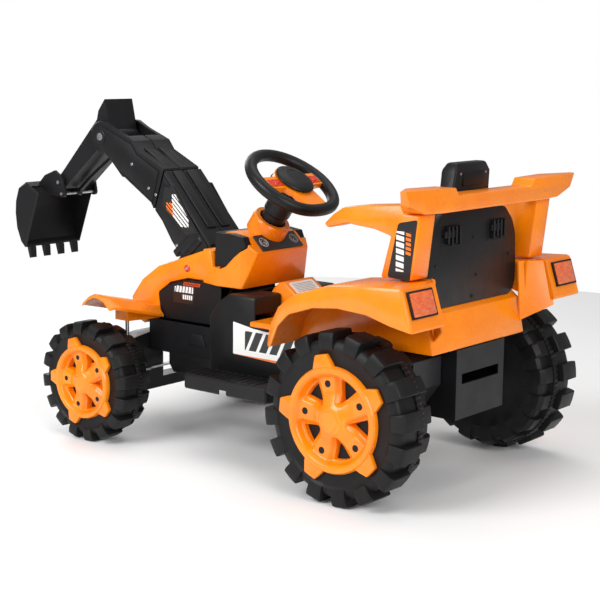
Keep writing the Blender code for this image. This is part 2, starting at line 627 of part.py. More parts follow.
def boom_socket():
    """The black shroud that fills the hood's side openings and closes the gap behind the boom."""
    wall = rectangle(front(-0.4398, 0.3460), front(-0.4306, 0.4125))
    body = extruded("boom_socket", wall, "YZ", -0.0900, 0.0900)
    bulge = [front(-0.4398, 0.3640), front(-0.430, 0.3490), front(-0.421, 0.3450), front(-0.405, 0.3520),
             front(-0.385, 0.3705), front(-0.3625, 0.3905), front(-0.3700, 0.4080), front(-0.400, 0.4120),
             front(-0.4398, 0.4115)]
    for _, side in SIDES:
        low, high = sorted((side * 0.0728, side * 0.0900))
        body = join(body, extruded("bulge", bulge, "YZ", low, high))
    body = cut(body, shaft_space())
    finish(body, "black_plastic")


def dash_panel():
    """The sloping instrument panel in front of the driver."""
    slope = [front(-0.3445, 0.3801), front(-0.3421, 0.3825), front(-0.3685, 0.4089), front(-0.3709, 0.4065)]
    panel = extruded("dash_panel", slope, "YZ", -0.060, 0.060)
    relief = rod("relief", 0.0400, -0.150, -0.060, "Z", steps=28)
    relief.data.transform(Matrix.Translation((0, *WHEEL_CENTRE)) @ Matrix.Rotation(-COLUMN_TILT, 4, "X"))
    finish(cut(panel, relief), "grey_plastic")


def cowl():
    """The black side panels under the bonnet, with the wall that joins them behind the nose."""
    outer = [front(-0.5965, 0.2262), front(-0.6035, 0.2740), front(-0.566, 0.2985), front(-0.518, 0.3110),
             front(-0.4320, 0.3100), front(-0.4320, 0.2262)]
    outside = NOSE_HALF_WIDTH - WALL - FIT
    body = extruded("front_cowl", outer, "YZ", -outside, outside)
    inner = rectangle(front(-0.5920, 0.20), front(-0.400, 0.35))
    body = cut(body, extruded("inner", inner, "YZ", -outside + WALL, outside - WALL))
    finish(body, "black_plastic")


def front_fenders():
    """Small flared wings over the front wheels, each a curved plate on a boss."""
    for side_name, side in SIDES:
        stations = [(NOSE_HALF_WIDTH + FIT, 0.256, 0.034), (0.120, 0.264, 0.038), (0.180, 0.278, 0.043),
                    (0.232, 0.290, 0.044), (0.240, 0.288, 0.038)]
        shape = bmesh.new()
        rings = []
        for x, peak, chord in stations:
            centre = front(-0.617, peak)
            ring = []
            for share in (-1, -0.6, -0.2, 0.2, 0.6, 1):
                ring.append((centre[0] + chord * share, centre[1] - 0.022 * share ** 2))
            ring += [(y, z - 0.005) for y, z in reversed(ring)]
            rings.append([shape.verts.new((side * x, y, z)) for y, z in ring])
        for one, two in zip(rings, rings[1:]):
            for i in range(len(one)):
                j = (i + 1) % len(one)
                shape.faces.new((one[i], one[j], two[j], two[i]))
        shape.faces.new(rings[0])
        shape.faces.new(list(reversed(rings[-1])))
        bmesh.ops.recalc_face_normals(shape, faces=shape.faces)
        mesh = bpy.data.meshes.new("fender_front_" + side_name)
        shape.to_mesh(mesh)
        shape.free()
        plate = link(bpy.data.objects.new("fender_front_" + side_name, mesh))
        foot = [(side * (NOSE_HALF_WIDTH + FIT), front(-0.646, 0)[0]), (side * 0.158, front(-0.648, 0)[0]),
                (side * 0.158, front(-0.612, 0)[0]), (side * (NOSE_HALF_WIDTH + FIT), front(-0.594, 0)[0])]
        plate = join(plate, extruded("foot", foot, "XY", 0.2262 + LIFT, 0.252 + LIFT))
        finish(plate, "orange_plastic")


# ---------------------------------------------------------------- arm
def direction(start, end):
    """Unit vectors along and across a line in the YZ plane."""
    along = (Vector(end) - Vector(start)).normalized()
    return along, Vector((along.y, -along.x))


def boom_half(name, outline, side, holes, slot=None):
    """One moulded half of the boom: a tray open at the middle plane."""
    low, high = sorted((side * FIT / 2, side * BOOM_HALF_WIDTH))
    half = extruded(name, outline, "YZ", low, high)
    half = rounded(half, 0.003, 1, 60)
    low, high = sorted((-side * 0.01, side * (BOOM_HALF_WIDTH - 0.004)))
    half = cut(half, extruded("hollow", offset(outline, -0.004), "YZ", low, high))
    if slot:
        low, high = sorted((-side * 0.01, side * (STICK_HALF_WIDTH + 0.0025)))
        half = cut(half, extruded("slot", slot, "YZ", low, high))
    for centre, radius in holes:
        low, high = sorted((0, side * (BOOM_HALF_WIDTH + 0.01)))
        half = cut(half, rod("bore", radius, low, high, "X", (0, *centre), 12))
    return finish(half, "black_plastic")


def boom():
    """Lower and upper boom, each a left and a right half, and the pins through the fork."""
    slot = [front(-0.740, 0.640), front(-0.722, 0.584), front(-0.716, 0.532), front(-0.7265, 0.497),
            front(-0.7265, 0.450), front(-0.860, 0.450), front(-0.860, 0.640)]
    for side_name, side in SIDES:
        boom_half("boom_lower_" + side_name, BOOM_LOWER, side, [])
        boom_half("boom_upper_" + side_name, BOOM_UPPER, side,
                  [(STICK_PIVOT, 0.005 + RUN), (LINK_TOP, 0.003 + RUN)], slot)
    reach = BOOM_HALF_WIDTH + 0.0030
    profile = [(0, reach), (0.008, reach), (0.008, reach - 0.0025), (0.005, reach - 0.0025),
               (0.005, -reach + 0.0025), (0.008, -reach + 0.0025), (0.008, -reach), (0, -reach)]
    pin = turned("stick_pin", profile, "X", (0, *STICK_PIVOT), 16)
    finish(pin, "steel")
    reach = BOOM_HALF_WIDTH - 0.001
    finish(rod("link_pin", 0.003, -reach, reach, "X", (0, *LINK_TOP), 12), "steel")


def stick():
    """The dipper: a box from the fork pivot, with a head above it, down to the bucket pivot."""
    along, front_side = direction(STICK_PIVOT, BUCKET_PIVOT)
    pivot = Vector(STICK_PIVOT)
    tip = Vector(BUCKET_PIVOT)
    heading = math.degrees(math.atan2(along.y, along.x))
    outline = [pivot + Vector((-0.003, 0.077)), pivot + Vector((-0.022, 0.053)),
               pivot + Vector((-0.027, 0.034)), tip - along * 0.020 + front_side * 0.017]
    outline = [tuple(p) for p in outline]
    outline += arc(BUCKET_PIVOT, 0.015, heading - 70, heading + 90, 8)
    outline += arc(STICK_PIVOT, 0.017, heading + 21, heading + 200, 10)
    outline += [tuple(pivot + Vector((0.006, 0.036)))]
    holes = [circle(STICK_PIVOT, 0.005 + RUN, 16), circle(BUCKET_PIVOT, 0.004 + RUN, 16)]
    piece = extruded("stick", outline, "YZ", -STICK_HALF_WIDTH, STICK_HALF_WIDTH, holes)
    finish(piece, "black_plastic", (0, *STICK_PIVOT))


def bucket():
    """The digging bucket with four teeth and two ears, and its two pins."""
    shell = [front(-0.963, 0.452), front(-1.004, 0.474), front(-1.028, 0.460), front(-1.038, 0.432),
             front(-1.0400, 0.405), front(-1.036, 0.372), front(-1.023, 0.342), front(-1.009, 0.329)]
    body = extruded("bucket", shell, "YZ", -BUCKET_HALF_WIDTH, BUCKET_HALF_WIDTH)
    body = rounded(body, 0.003, 1, 60)
    mouth = offset(shell, -0.004)
    mouth[0] = front(-0.940, 0.455)
    mouth[-1] = front(-0.992, 0.325)
    mouth.append(front(-0.930, 0.360))
    inside = BUCKET_HALF_WIDTH - 0.004
    body = cut(body, extruded("mouth", mouth, "YZ", -inside, inside))
    for i in range(4):
        x = -0.061 + 0.0407 * i
        tooth = [front(-1.010, 0.338), front(-1.0150, 0.330), front(-1.008, 0.307), front(-1.003, 0.308),
                 front(-1.004, 0.330)]
        body = join(body, extruded("tooth", tooth, "YZ", x - 0.008, x + 0.008))
    ear = (arc(BUCKET_PIVOT, 0.014, 60, -10, 4) + arc(LINK_FOOT, 0.008, 0, -120, 4)
           + [front(-0.960, 0.4475), front(-1.000, 0.4680), front(-0.978, 0.489), front(-0.946, 0.501)])
    for _, side in SIDES:
        low, high = sorted((side * (STICK_HALF_WIDTH + 0.002), side * (STICK_HALF_WIDTH + 0.008)))
        body = join(body, extruded("ear", ear, "YZ", low, high))
    reach = STICK_HALF_WIDTH + 0.02
    body = cut(body, rod("bore", 0.004 + RUN, -reach, reach, "X", (0, *BUCKET_PIVOT), 16),
               rod("bore", 0.003 + RUN, -reach, reach, "X", (0, *LINK_FOOT), 12))
    finish(body, "black_plastic", (0, *BUCKET_PIVOT))
    reach = STICK_HALF_WIDTH + 0.012
    finish(rod("bucket_pin", 0.004, -reach, reach, "X", (0, *BUCKET_PIVOT), 16), "steel", (0, *BUCKET_PIVOT))
    finish(rod("bucket_link_pin", 0.003, -reach, reach, "X", (0, *LINK_FOOT), 12), "steel",
           (0, *BUCKET_PIVOT))


def bucket_link():
    """The bent rod from the boom to the bucket that keeps the bucket level."""
    half_width = 0.0035
    along, across = direction(LINK_FOOT, LINK_TOP)
    heading = math.degrees(math.atan2(along.y, along.x))
    if across.y > 0:
        across = -across
    length = (Vector(LINK_TOP) - Vector(LINK_FOOT)).length
    bend = 0.004
    foot = Vector(LINK_FOOT)
    middle = [foot + along * share * length - across * bend * lift for share, lift in
              ((0.07, 0.5), (0.25, 1.0), (0.45, 1.0), (0.90, 0.2))]
    outline = arc(LINK_FOOT, 0.0065, heading + 34, heading + 326, 10)
    outline += [tuple(p + across * half_width) for p in middle]
    outline += arc(LINK_TOP, 0.0065, heading - 146, heading + 146, 10)
    outline += [tuple(p - across * half_width) for p in reversed(middle)]
    holes = [circle(LINK_FOOT, 0.003 + RUN, 12), circle(LINK_TOP, 0.003 + RUN, 12)]
    finish(extruded("bucket_link", outline, "YZ", -0.0045, 0.0045, holes), "black_plastic", (0, *LINK_TOP))


# ---------------------------------------------------------------- rear body
LAMP_INNER_X = 0.181
SEAT_HALF_WIDTH = 0.150
FENDER_TOP = [rear(-0.182, 0.243), rear(-0.172, 0.285), rear(-0.137, 0.325), rear(-0.087, 0.354),
              rear(-0.020, 0.375), rear(0.050, 0.382), rear(0.1285, 0.386), rear(0.1520, 0.312)]
FENDER_ARCH = [rear(0.108, 0.320), rear(0.060, 0.333), rear(0.000, 0.337), rear(-0.050, 0.332),
               rear(-0.100, 0.316), rear(-0.140, 0.288), rear(-0.168, 0.245)]


def rear_body():
    """The orange rear moulding: seat base, wheel arches and lamp housings, hollow from below."""
    base = [rear(-0.300, 0.2525), rear(-0.300, 0.2625), rear(-0.200, 0.2645), rear(-0.182, 0.3080),
            rear(-0.172, DECK), rear(0.0400, DECK), rear(0.0440, 0.346),
            rear(0.060, 0.346), rear(0.094, 0.318), rear(0.108, 0.2525)]
    body = rounded(extruded("rear_body", base, "YZ", -SEAT_HALF_WIDTH, SEAT_HALF_WIDTH), 0.003, 2, 40)
    hump = [rear(-0.362, 0.2530), rear(-0.352, 0.2740), rear(-0.340, 0.2950), rear(-0.328, 0.3120),
            rear(-0.316, 0.3225), rear(-0.305, 0.3245), rear(-0.262, 0.2925), rear(-0.220, 0.2570),
            rear(-0.220, 0.2530)]
    body = join(body, rounded(extruded("hump", hump, "YZ", -HUMP_HALF_WIDTH, HUMP_HALF_WIDTH), 0.006, 2, 60))
    arch = FENDER_TOP + FENDER_ARCH
    wing = extruded("wing", arch, "YZ", SEAT_HALF_WIDTH - 0.002, FENDER_OUTER_X)
    plan = [(0.120, -0.200), (0.232, -0.200), (FENDER_OUTER_X, -0.110), (FENDER_OUTER_X + 0.01, 0.200),
            (0.120, 0.200)]
    wing = combine(wing, extruded("plan", plan, "XY", 0.2 + LIFT, 0.5 + LIFT), "INTERSECT")
    body = join(body, rounded(wing, 0.006, 2, 40))
    recess = LAMP_INNER_X
    body = cut(body, box("recess", (-recess, 0.1085, 0.250 + LIFT), (recess, 0.200, 0.450 + LIFT)))
    inner_base = [rear(-0.190, 0.2400), rear(-0.1805, 0.3050), rear(-0.1705, DECK - 0.0035),
                  rear(0.0435, DECK - 0.0035), rear(0.0475, 0.3425),
                  rear(0.0585, 0.3425), rear(0.0910, 0.3165), rear(0.1045, 0.2400)]
    inside = SEAT_HALF_WIDTH - 0.0035
    body = cut(body, extruded("inner_base", inner_base, "YZ", -inside, inside))
    inner_arch = offset(FENDER_TOP + [rear(0.1520, 0.220), rear(-0.182, 0.220)], -0.0035)
    inner_arch[-1] = (inner_arch[-1][0], inner_arch[-1][1] - 0.02)
    pocket = extruded("pocket", inner_arch, "YZ", SEAT_HALF_WIDTH + 0.0005, FENDER_OUTER_X - 0.0035)
    plan = [(0.120, -0.200), (0.2285, -0.200), (FENDER_OUTER_X - 0.0035, -0.108),
            (FENDER_OUTER_X - 0.0035, 0.200), (LAMP_INNER_X + 0.0035, 0.200), (LAMP_INNER_X + 0.0035, 0.104),
            (0.120, 0.104)]
    pocket = combine(pocket, extruded("plan", plan, "XY", 0.1 + LIFT, 0.5 + LIFT), "INTERSECT")
    body = symmetric(cut(body, pocket))
    finish(body, "orange_plastic")


def lamps():
    """Rear lamps: a dark bezel with a lens in it on each lamp housing."""
    down = (Vector(rear(0.1520, 0.312)) - Vector(rear(0.1285, 0.386))).normalized()
    out = Vector((-down.y, down.x))
    if out.x < 0:
        out = -out
    start = Vector(rear(0.1285, 0.386)) + out * FIT + down * 0.008
    for side_name, side in SIDES:
        low, high = sorted((side * 0.1975, side * 0.2680))
        outline = [start, start + down * 0.046, start + down * 0.046 + out * 0.004, start + out * 0.004]
        bezel = extruded("lamp_bezel_" + side_name, [tuple(p) for p in outline], "YZ", low, high)
        pocket = [start + down * 0.003 + out * 0.0012, start + down * 0.043 + out * 0.0012,
                  start + down * 0.043 + out * 0.010, start + down * 0.003 + out * 0.010]
        bezel = cut(bezel, extruded("pocket", [tuple(p) for p in pocket], "YZ", low + 0.003, high - 0.003))
        finish(bezel, "black_plastic")
        lens = [start + down * 0.0034 + out * 0.0016, start + down * 0.0426 + out * 0.0016,
                start + down * 0.0426 + out * 0.0046, start + down * 0.0034 + out * 0.0046]
        lens = [tuple(p) for p in lens]
        glass = extruded("lamp_lens_" + side_name, lens, "YZ", low + 0.0034, high - 0.0034)
        finish(glass, "lamp_red")


def roll_frame():
    """Posts with forward arms, and the spoiler across their tops."""
    post = [rear(0.105, 0.3875), rear(0.118, 0.4965), rear(0.0875, 0.4965), rear(0.080, 0.511),
            rear(-0.003, 0.504), rear(-0.039, 0.499), rear(-0.060, 0.486), rear(-0.0795, 0.4680),
            rear(-0.072, 0.4615), rear(-0.042, 0.4690), rear(-0.027, 0.473), rear(-0.020, 0.471),
            rear(0.025, 0.467), rear(0.060, 0.458), rear(0.041, 0.3875)]
    for side_name, side in SIDES:
        low, high = sorted((side * POST_INNER_X, side * POST_OUTER_X))
        piece = rounded(extruded("frame_" + side_name, post, "YZ", low, high), 0.004, 2, 40)
        finish(piece, "orange_plastic")
    half = [(0, 0.4970), (POST_INNER_X, 0.4970), (POST_OUTER_X + 0.002, 0.4990), (0.260, 0.5140),
            (0.275, 0.5400), (0.128, 0.5370), (0.118, 0.5235), (0, 0.5235)]
    outline = mirrored([(x, z + LIFT) for x, z in half])
    beam = extruded("spoiler", outline, "XZ", 0.0885, 0.1320)
    plan = mirrored([(0, 0.080), (0.200, 0.080), (0.280, 0.1240), (0.280, 0.140), (0, 0.140)])
    beam = combine(beam, extruded("plan", plan, "XY", 0.4 + LIFT, 0.6 + LIFT), "INTERSECT")
    beam = rounded(beam, 0.003, 2, 40)
    finish(beam, "orange_plastic")


def seat():
    """The black seat, with its pan, back and headrest in one moulding, and the cover of its back."""
    pan_top = 0.3300
    profile = [rear(-0.160, DECK + FIT), rear(-0.163, pan_top), rear(0.0180, pan_top), rear(0.046, 0.480),
               rear(0.050, 0.500), rear(0.0520, 0.560), rear(0.058, 0.571), rear(0.080, 0.571),
               rear(0.0840, 0.555), rear(0.0790, 0.500), rear(0.0790, 0.360), rear(0.058, 0.3464),
               rear(0.0390, 0.3464), rear(0.0390, DECK + FIT)]
    body = extruded("seat", profile, "YZ", -0.2, 0.2)
    elevation = mirrored([(0, 0.3100), (0.130, 0.3100), (0.138, 0.385), (0.133, 0.435), (0.104, 0.484),
                          (0.060, 0.494), (0.055, 0.555), (0.046, 0.571), (0, 0.5725)])
    elevation = [(x, z + LIFT) for x, z in elevation]
    body = combine(body, extruded("elevation", elevation, "XZ", -0.3, 0.2), "INTERSECT")
    finish(rounded(body, 0.004, 2, 40), "black_plastic")
    half = [(0, 0.3210), (0.111, 0.3210), (0.131, 0.374), (0.147, 0.382), (0.141, 0.440), (0.130, 0.461),
            (0.104, 0.487), (0, 0.490)]
    outline = mirrored([(x, z + LIFT) for x, z in half])
    back = extruded("seat_back_cover", outline, "XZ", 0.0794, 0.0880)
    wedge = [rear(0.060, 0.3464), rear(0.0945, 0.3180), rear(0.0945, 0.300), rear(0.060, 0.300)]
    back = cut(back, extruded("wedge", offset(wedge, 0.0006), "YZ", -0.2, 0.2))
    finish(back, "black_plastic")


def controls():
    """Foot pedal in its bracket on the right step."""
    x = -(TUB_HALF_WIDTH + 0.036)
    hinge = (front(-0.395, 0)[0], 0.1600 + LIFT)
    y, z = hinge
    bracket = box("pedal_bracket", (x - 0.016, y - 0.006, 0.1554 + LIFT),
                  (x + 0.016, y + 0.006, z + 0.0045))
    bracket = cut(bracket, box("gap", (x - 0.0105, y - 0.01, 0.1575 + LIFT),
                               (x + 0.0105, y + 0.01, z + 0.02)))
    finish(bracket, "black_plastic")
    plate = [(y - 0.003, z - 0.0010), (y + 0.070, z + 0.0180), (y + 0.070, z + 0.0215),
             (y - 0.003, z + 0.0035)]
    pedal = extruded("foot_pedal", plate, "YZ", x - 0.010, x + 0.010)
    finish(pedal, "red_plastic", (x, y, z))


def direction_switch():
    """The forward and reverse lever on the right side of the hump."""
    centre = rear(-0.284, 0.290)
    lever = arc(centre, 0.011, -60, 240, 10) + [rear(-0.288, 0.268), rear(-0.280, 0.268)]
    x = -HUMP_HALF_WIDTH - FIT
    finish(extruded("direction_switch", lever, "YZ", x - 0.006, x), "red_plastic", (x, *centre))


def main():
    """Build the whole digger."""
    clear_scene()
    collection = bpy.data.collections.new("ride_on_digger")
    bpy.context.scene.collection.children.link(collection)
    for name, (colour, roughness, metallic) in FINISHES.items():
        new_material(name, colour, roughness, metallic)
    root = link(bpy.data.objects.new("digger", None))
    root.location = (0, ORIGIN_Y, 0)
    wheels()
    tub()
    steps()
    drive()
    front_beam()
    steering_gear()
    steering_wheel()
    hood()
    boom_socket()
    dash_panel()
    cowl()
    front_fenders()
    boom()
    stick()
    bucket()
    bucket_link()
    rear_body()
    lamps()
    roll_frame()
    seat()
    controls()
    direction_switch()


main()
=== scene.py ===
"""Ride-on digger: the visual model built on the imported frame, laid out as a Blender add-on."""
import json
import math

import bmesh
import bpy
import numpy as np
from mathutils import Matrix, Vector


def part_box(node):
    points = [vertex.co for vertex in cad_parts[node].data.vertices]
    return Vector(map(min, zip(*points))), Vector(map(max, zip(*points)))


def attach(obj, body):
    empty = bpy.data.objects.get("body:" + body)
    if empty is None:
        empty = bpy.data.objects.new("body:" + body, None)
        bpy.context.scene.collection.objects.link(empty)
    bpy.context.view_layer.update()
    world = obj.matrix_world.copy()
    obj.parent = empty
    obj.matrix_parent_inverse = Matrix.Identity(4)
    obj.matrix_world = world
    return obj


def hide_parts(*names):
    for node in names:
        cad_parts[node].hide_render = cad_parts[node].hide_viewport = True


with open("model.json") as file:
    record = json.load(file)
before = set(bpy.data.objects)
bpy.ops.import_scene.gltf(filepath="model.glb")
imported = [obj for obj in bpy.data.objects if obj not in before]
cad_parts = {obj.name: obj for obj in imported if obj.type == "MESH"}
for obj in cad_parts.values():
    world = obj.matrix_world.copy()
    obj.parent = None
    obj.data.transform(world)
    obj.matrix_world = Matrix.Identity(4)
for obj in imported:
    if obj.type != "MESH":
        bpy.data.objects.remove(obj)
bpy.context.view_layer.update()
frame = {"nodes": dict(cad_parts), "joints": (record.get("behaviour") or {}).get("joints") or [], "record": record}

bl_info = {
    "name": "Ride-on Digger",
    "version": (1, 0, 0),
    "blender": (4, 5, 0),
    "location": "View3D > Sidebar > Digger",
    "description": "Builds the moulded shells, wheels, arm, labels and studio of a child's ride-on digger",
    "category": "Add Mesh",
}

BODY_OF = {node: body for body, nodes in frame["record"]["behaviour"]["bodies"].items() for node in nodes}
SLOT_OF = {entry["node"]: entry["material_slot"] for entry in frame["record"]["subparts"]}
MM = 0.001
FLOOR_RADIUS, FLOOR_STEPS = 2.1, 128
BOOM_SIDE_X, BOOM_PIN = 0.055, (-0.793, 0.580)     # the pin as (y, z) from the rear axle


def axle_of(node):
    """(y, z) of the middle of a node, which for a wheel is its axle."""
    low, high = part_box(node)
    return (low.y + high.y) / 2, (low.z + high.z) / 2


REAR_AXLE_Y = axle_of("rear_axle")[0]
SIDES = (("left", 1.0), ("right", -1.0))


# ---------------------------------------------------------------- settings

class DiggerColours(bpy.types.PropertyGroup):
    """Colours of the plastics, as sRGB hex values."""

    orange: bpy.props.StringProperty(name="Orange", description="Orange polypropylene shells",
                                     default="#FA8C04")
    orange_deep: bpy.props.StringProperty(
        name="Deep orange", description="The orange where the wall is thick or in shade", default="#F47E02")
    black: bpy.props.StringProperty(name="Black", description="Black polypropylene", default="#121213")
    tyre: bpy.props.StringProperty(name="Tyre", description="Blow-moulded tyre", default="#0E0E0F")
    grey: bpy.props.StringProperty(name="Grey", description="Grey gearbox and panel plastic",
                                   default="#1E1E20")
    red: bpy.props.StringProperty(name="Red", description="Switches and buttons", default="#D8351A")
    lamp: bpy.props.StringProperty(name="Lamp", description="Reflector lamp lenses", default="#F2603A")
    label_white: bpy.props.StringProperty(name="Label white", description="White label film",
                                          default="#F1F1EF")
    floor: bpy.props.StringProperty(name="Floor", description="Studio floor", default="#FAFAFA")


class DiggerSizes(bpy.types.PropertyGroup):
    """Sizes of the moulded detail."""

    lugs: bpy.props.IntProperty(name="Lugs", description="Tread blocks round each tyre", default=16, min=8,
                                max=32)
    lug_depth: bpy.props.FloatProperty(
        name="Lug depth", description="Height of a tread block", default=0.0135, unit="LENGTH", min=0.002,
        max=0.03)
    ribs: bpy.props.IntProperty(name="Ribs", description="Fine ribs round the tyre's middle band", default=96)
    edge: bpy.props.FloatProperty(
        name="Edge radius", description="Radius of the moulded shells' edges", default=0.003, unit="LENGTH")
    azimuth: bpy.props.FloatProperty(
        name="Azimuth", description="Camera direction round the digger", default=math.radians(38.96),
        subtype="ANGLE")
    lens: bpy.props.FloatProperty(name="Lens", description="Camera focal length in millimetres",
                                  default=87.13)


def sizes():
    """The size settings of the scene."""
    return bpy.context.scene.digger_sizes


def colours():
    """The colour settings of the scene."""
    return bpy.context.scene.digger_colours


# ---------------------------------------------------------------- surfaces

def rings_to_mesh(rings, closed=True, capped=True):
    """Vertices and faces of a skin over rings, an array (rings, points, 3).

    Point j of ring i joins point j of ring i + 1. closed joins the last point of each ring to its
    first, capped fills the first and last rings with one face each, and the skin faces outward when
    the rings run round their direction of travel by the right-hand rule."""
    rows, count = rings.shape[:2]
    index = np.arange(rows * count).reshape(rows, count)
    ahead = np.roll(index, -1, axis=1) if closed else index[:, 1:]
    here = index if closed else index[:, :-1]
    quads = np.stack([here[:-1], ahead[:-1], ahead[1:], here[1:]], axis=-1).reshape(-1, 4)
    faces = quads.tolist()
    if capped:
        faces.append(index[0, ::-1].tolist())
        faces.append(index[-1].tolist())
    return rings.reshape(-1, 3), faces


def torus_mesh(rings):
    """A skin whose last ring joins its first as well, such as a tyre or a steering wheel rim."""
    rows, count = rings.shape[:2]
    index = np.arange(rows * count).reshape(rows, count)
    right, up = np.roll(index, -1, axis=1), np.roll(index, -1, axis=0)
    corner = np.roll(up, -1, axis=1)
    return rings.reshape(-1, 3), np.stack([index, right, corner, up], axis=-1).reshape(-1, 4).tolist()


def merged(*parts):
    """Several (vertices, faces) as one."""
    vertices, faces, start = [], [], 0
    for points, polygons in parts:
        vertices.append(points)
        faces += [[start + i for i in polygon] for polygon in polygons]
        start += len(points)
    return np.concatenate(vertices), faces


def moved(part, matrix):
    """(vertices, faces) with a 4 x 4 matrix applied; a mirroring matrix also turns the faces round."""
    points, faces = part
    m = np.array(matrix)
    points = points @ m[:3, :3].T + m[:3, 3]
    if np.linalg.det(m[:3, :3]) < 0:
        faces = [polygon[::-1] for polygon in faces]
    return points, faces


def inward(outline, distance):
    """A counter-clockwise outline moved inward: each point goes along the mean of its two edge
    normals, stretched so that both edges move by the distance."""
    edge = np.roll(outline, -1, axis=0) - outline
    normal = np.stack([-edge[:, 1], edge[:, 0]], axis=1) / np.linalg.norm(edge, axis=1, keepdims=True)
    before = np.roll(normal, 1, axis=0)
    mean = normal + before
    mean /= np.maximum(np.sum(mean * normal, axis=1, keepdims=True), 0.5)
    return outline + mean * distance


def plate(outline, low, high, edge=0.001, steps=3):
    """A plate over a flat outline in the XY plane from z low to z high, its top and bottom edges
    rounded by quarter circles of the edge radius."""
    turn = np.linspace(0, math.pi / 2, steps)
    insets = np.concatenate([edge * (1 - np.sin(turn)), edge * (1 - np.sin(turn[::-1]))])
    heights = np.concatenate([low + edge * (1 - np.cos(turn)), high - edge * (1 - np.cos(turn[::-1]))])
    outline = np.asarray(outline, float)
    rings = np.stack([np.column_stack([inward(outline, d), np.full(len(outline), z)])
                      for d, z in zip(insets, heights)])
    return rings_to_mesh(rings)


def turned(profile, steps=48):
    """A profile of (radius, height) pairs turned about Z: point (r, h) sweeps to
    (r cos a, r sin a, h) for a from 0 to a full turn. A radius of zero is a tiny one, so its ring
    closes as a cap."""
    profile = np.asarray(profile, float)
    angle = np.linspace(0, 2 * math.pi, steps, endpoint=False)
    radius = np.maximum(profile[:, 0], 1e-5)[:, None]
    rings = np.stack([radius * np.cos(angle), radius * np.sin(angle),
                      np.broadcast_to(profile[:, 1][:, None], (len(profile), steps))], axis=-1)
    return rings_to_mesh(rings)


def rounded_polygon(corners, radius, steps=4):
    """A polygon whose corners are replaced by quadratic curves that start and end at the radius from
    the corner: p(t) = (1-t)^2 a + 2t(1-t) c + t^2 b."""
    corners = np.asarray(corners, float)
    to_last = np.roll(corners, 1, axis=0) - corners
    to_next = np.roll(corners, -1, axis=0) - corners
    start = corners + to_last / np.linalg.norm(to_last, axis=1, keepdims=True) * radius
    end = corners + to_next / np.linalg.norm(to_next, axis=1, keepdims=True) * radius
    t = np.linspace(0, 1, steps)[None, :, None]
    curve = (1 - t) ** 2 * start[:, None] + 2 * t * (1 - t) * corners[:, None] + t ** 2 * end[:, None]
    return curve.reshape(-1, 2)


def placed(origin, z_axis, x_axis=(1, 0, 0)):
    """The matrix that puts a piece's own origin and axes at a place in the frame."""
    z = Vector(z_axis).normalized()
    x = (Vector(x_axis) - z * Vector(x_axis).dot(z)).normalized()
    y = z.cross(x)
    return Matrix.Translation(origin) @ Matrix((x, y, z)).transposed().to_4x4()


def make_piece(name, part, material, body, replaces=(), angle=35.0, uv=None):
    """A mesh object from (vertices, faces) that rides on a body, smooth except over sharp edges."""
    points, faces = part
    mesh = bpy.data.meshes.new(name)
    mesh.from_pydata(points.tolist(), [], faces)
    if uv is not None:
        loops = np.zeros(len(mesh.loops), np.int32)
        mesh.loops.foreach_get("vertex_index", loops)
        mesh.uv_layers.new(name="UVMap").data.foreach_set("uv", uv[loops].astype(np.float32).ravel())
    mesh.shade_smooth()
    mesh.set_sharp_from_angle(angle=math.radians(angle))
    piece = bpy.data.objects.new(name, mesh)
    bpy.context.scene.collection.objects.link(piece)
    mesh.materials.append(material)
    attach(piece, body)
    if replaces:
        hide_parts(*replaces)
    return piece


def softened(node, material, radius=None, angle=28.0, segments=3, smooth=32.0):
    """A merged copy of a CAD node with its sharp edges rounded, which stands for that node."""
    radius = sizes().edge if radius is None else radius
    mesh = frame["nodes"][node].data.copy()
    work = bmesh.new()
    work.from_mesh(mesh)
    bmesh.ops.remove_doubles(work, verts=work.verts, dist=2e-6)
    bmesh.ops.dissolve_limit(work, angle_limit=math.radians(1.0), verts=work.verts, edges=work.edges)
    work.to_mesh(mesh)
    work.free()
    mesh.materials.clear()
    mesh.materials.append(material)
    mesh.shade_smooth()
    mesh.set_sharp_from_angle(angle=math.radians(smooth))
    piece = bpy.data.objects.new("shell_" + node, mesh)
    bpy.context.scene.collection.objects.link(piece)
    if radius > 0:
        bevel = piece.modifiers.new("edges", "BEVEL")
        bevel.width = radius
        bevel.segments = segments
        bevel.limit_method = "ANGLE"
        bevel.angle_limit = math.radians(angle)
        bevel.harden_normals = False
        bevel.use_clamp_overlap = True
    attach(piece, BODY_OF[node])
    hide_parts(node)
    return piece


# ---------------------------------------------------------------- materials

def linear(hex_colour):
    """An sRGB hex colour as linear red, green, blue and alpha."""
    value = np.array([int(hex_colour[i:i + 2], 16) / 255 for i in (1, 3, 5)])
    value = np.where(value <= 0.04045, value / 12.92, ((value + 0.055) / 1.055) ** 2.4)
    return (*value.tolist(), 1.0)


def add_node(tree, kind, inputs=None, **settings):
    """One node with its settings; an input that is a socket is linked, any other is set."""
    node = tree.nodes.new("ShaderNode" + kind)
    for key, value in settings.items():
        setattr(node, key, value)
    for key, value in (inputs or {}).items():
        if isinstance(value, bpy.types.NodeSocket):
            tree.links.new(value, node.inputs[key])
        else:
            node.inputs[key].default_value = value
    return node


def blank_material(name):
    """A material with its node tree cleared to an output."""
    material = bpy.data.materials.new(name)
    material.use_nodes = True
    tree = material.node_tree
    tree.nodes.clear()
    return material, tree, tree.nodes.new("ShaderNodeOutputMaterial")


def ramp_between(tree, factor, first, second, low=0.35, high=0.65):
    """A colour ramp from one colour to another over part of a factor's range."""
    node = add_node(tree, "ValToRGB", {"Fac": factor})
    node.color_ramp.elements[0].position = low
    node.color_ramp.elements[1].position = high
    node.color_ramp.elements[0].color = first
    node.color_ramp.elements[1].color = second
    return node.outputs["Color"]


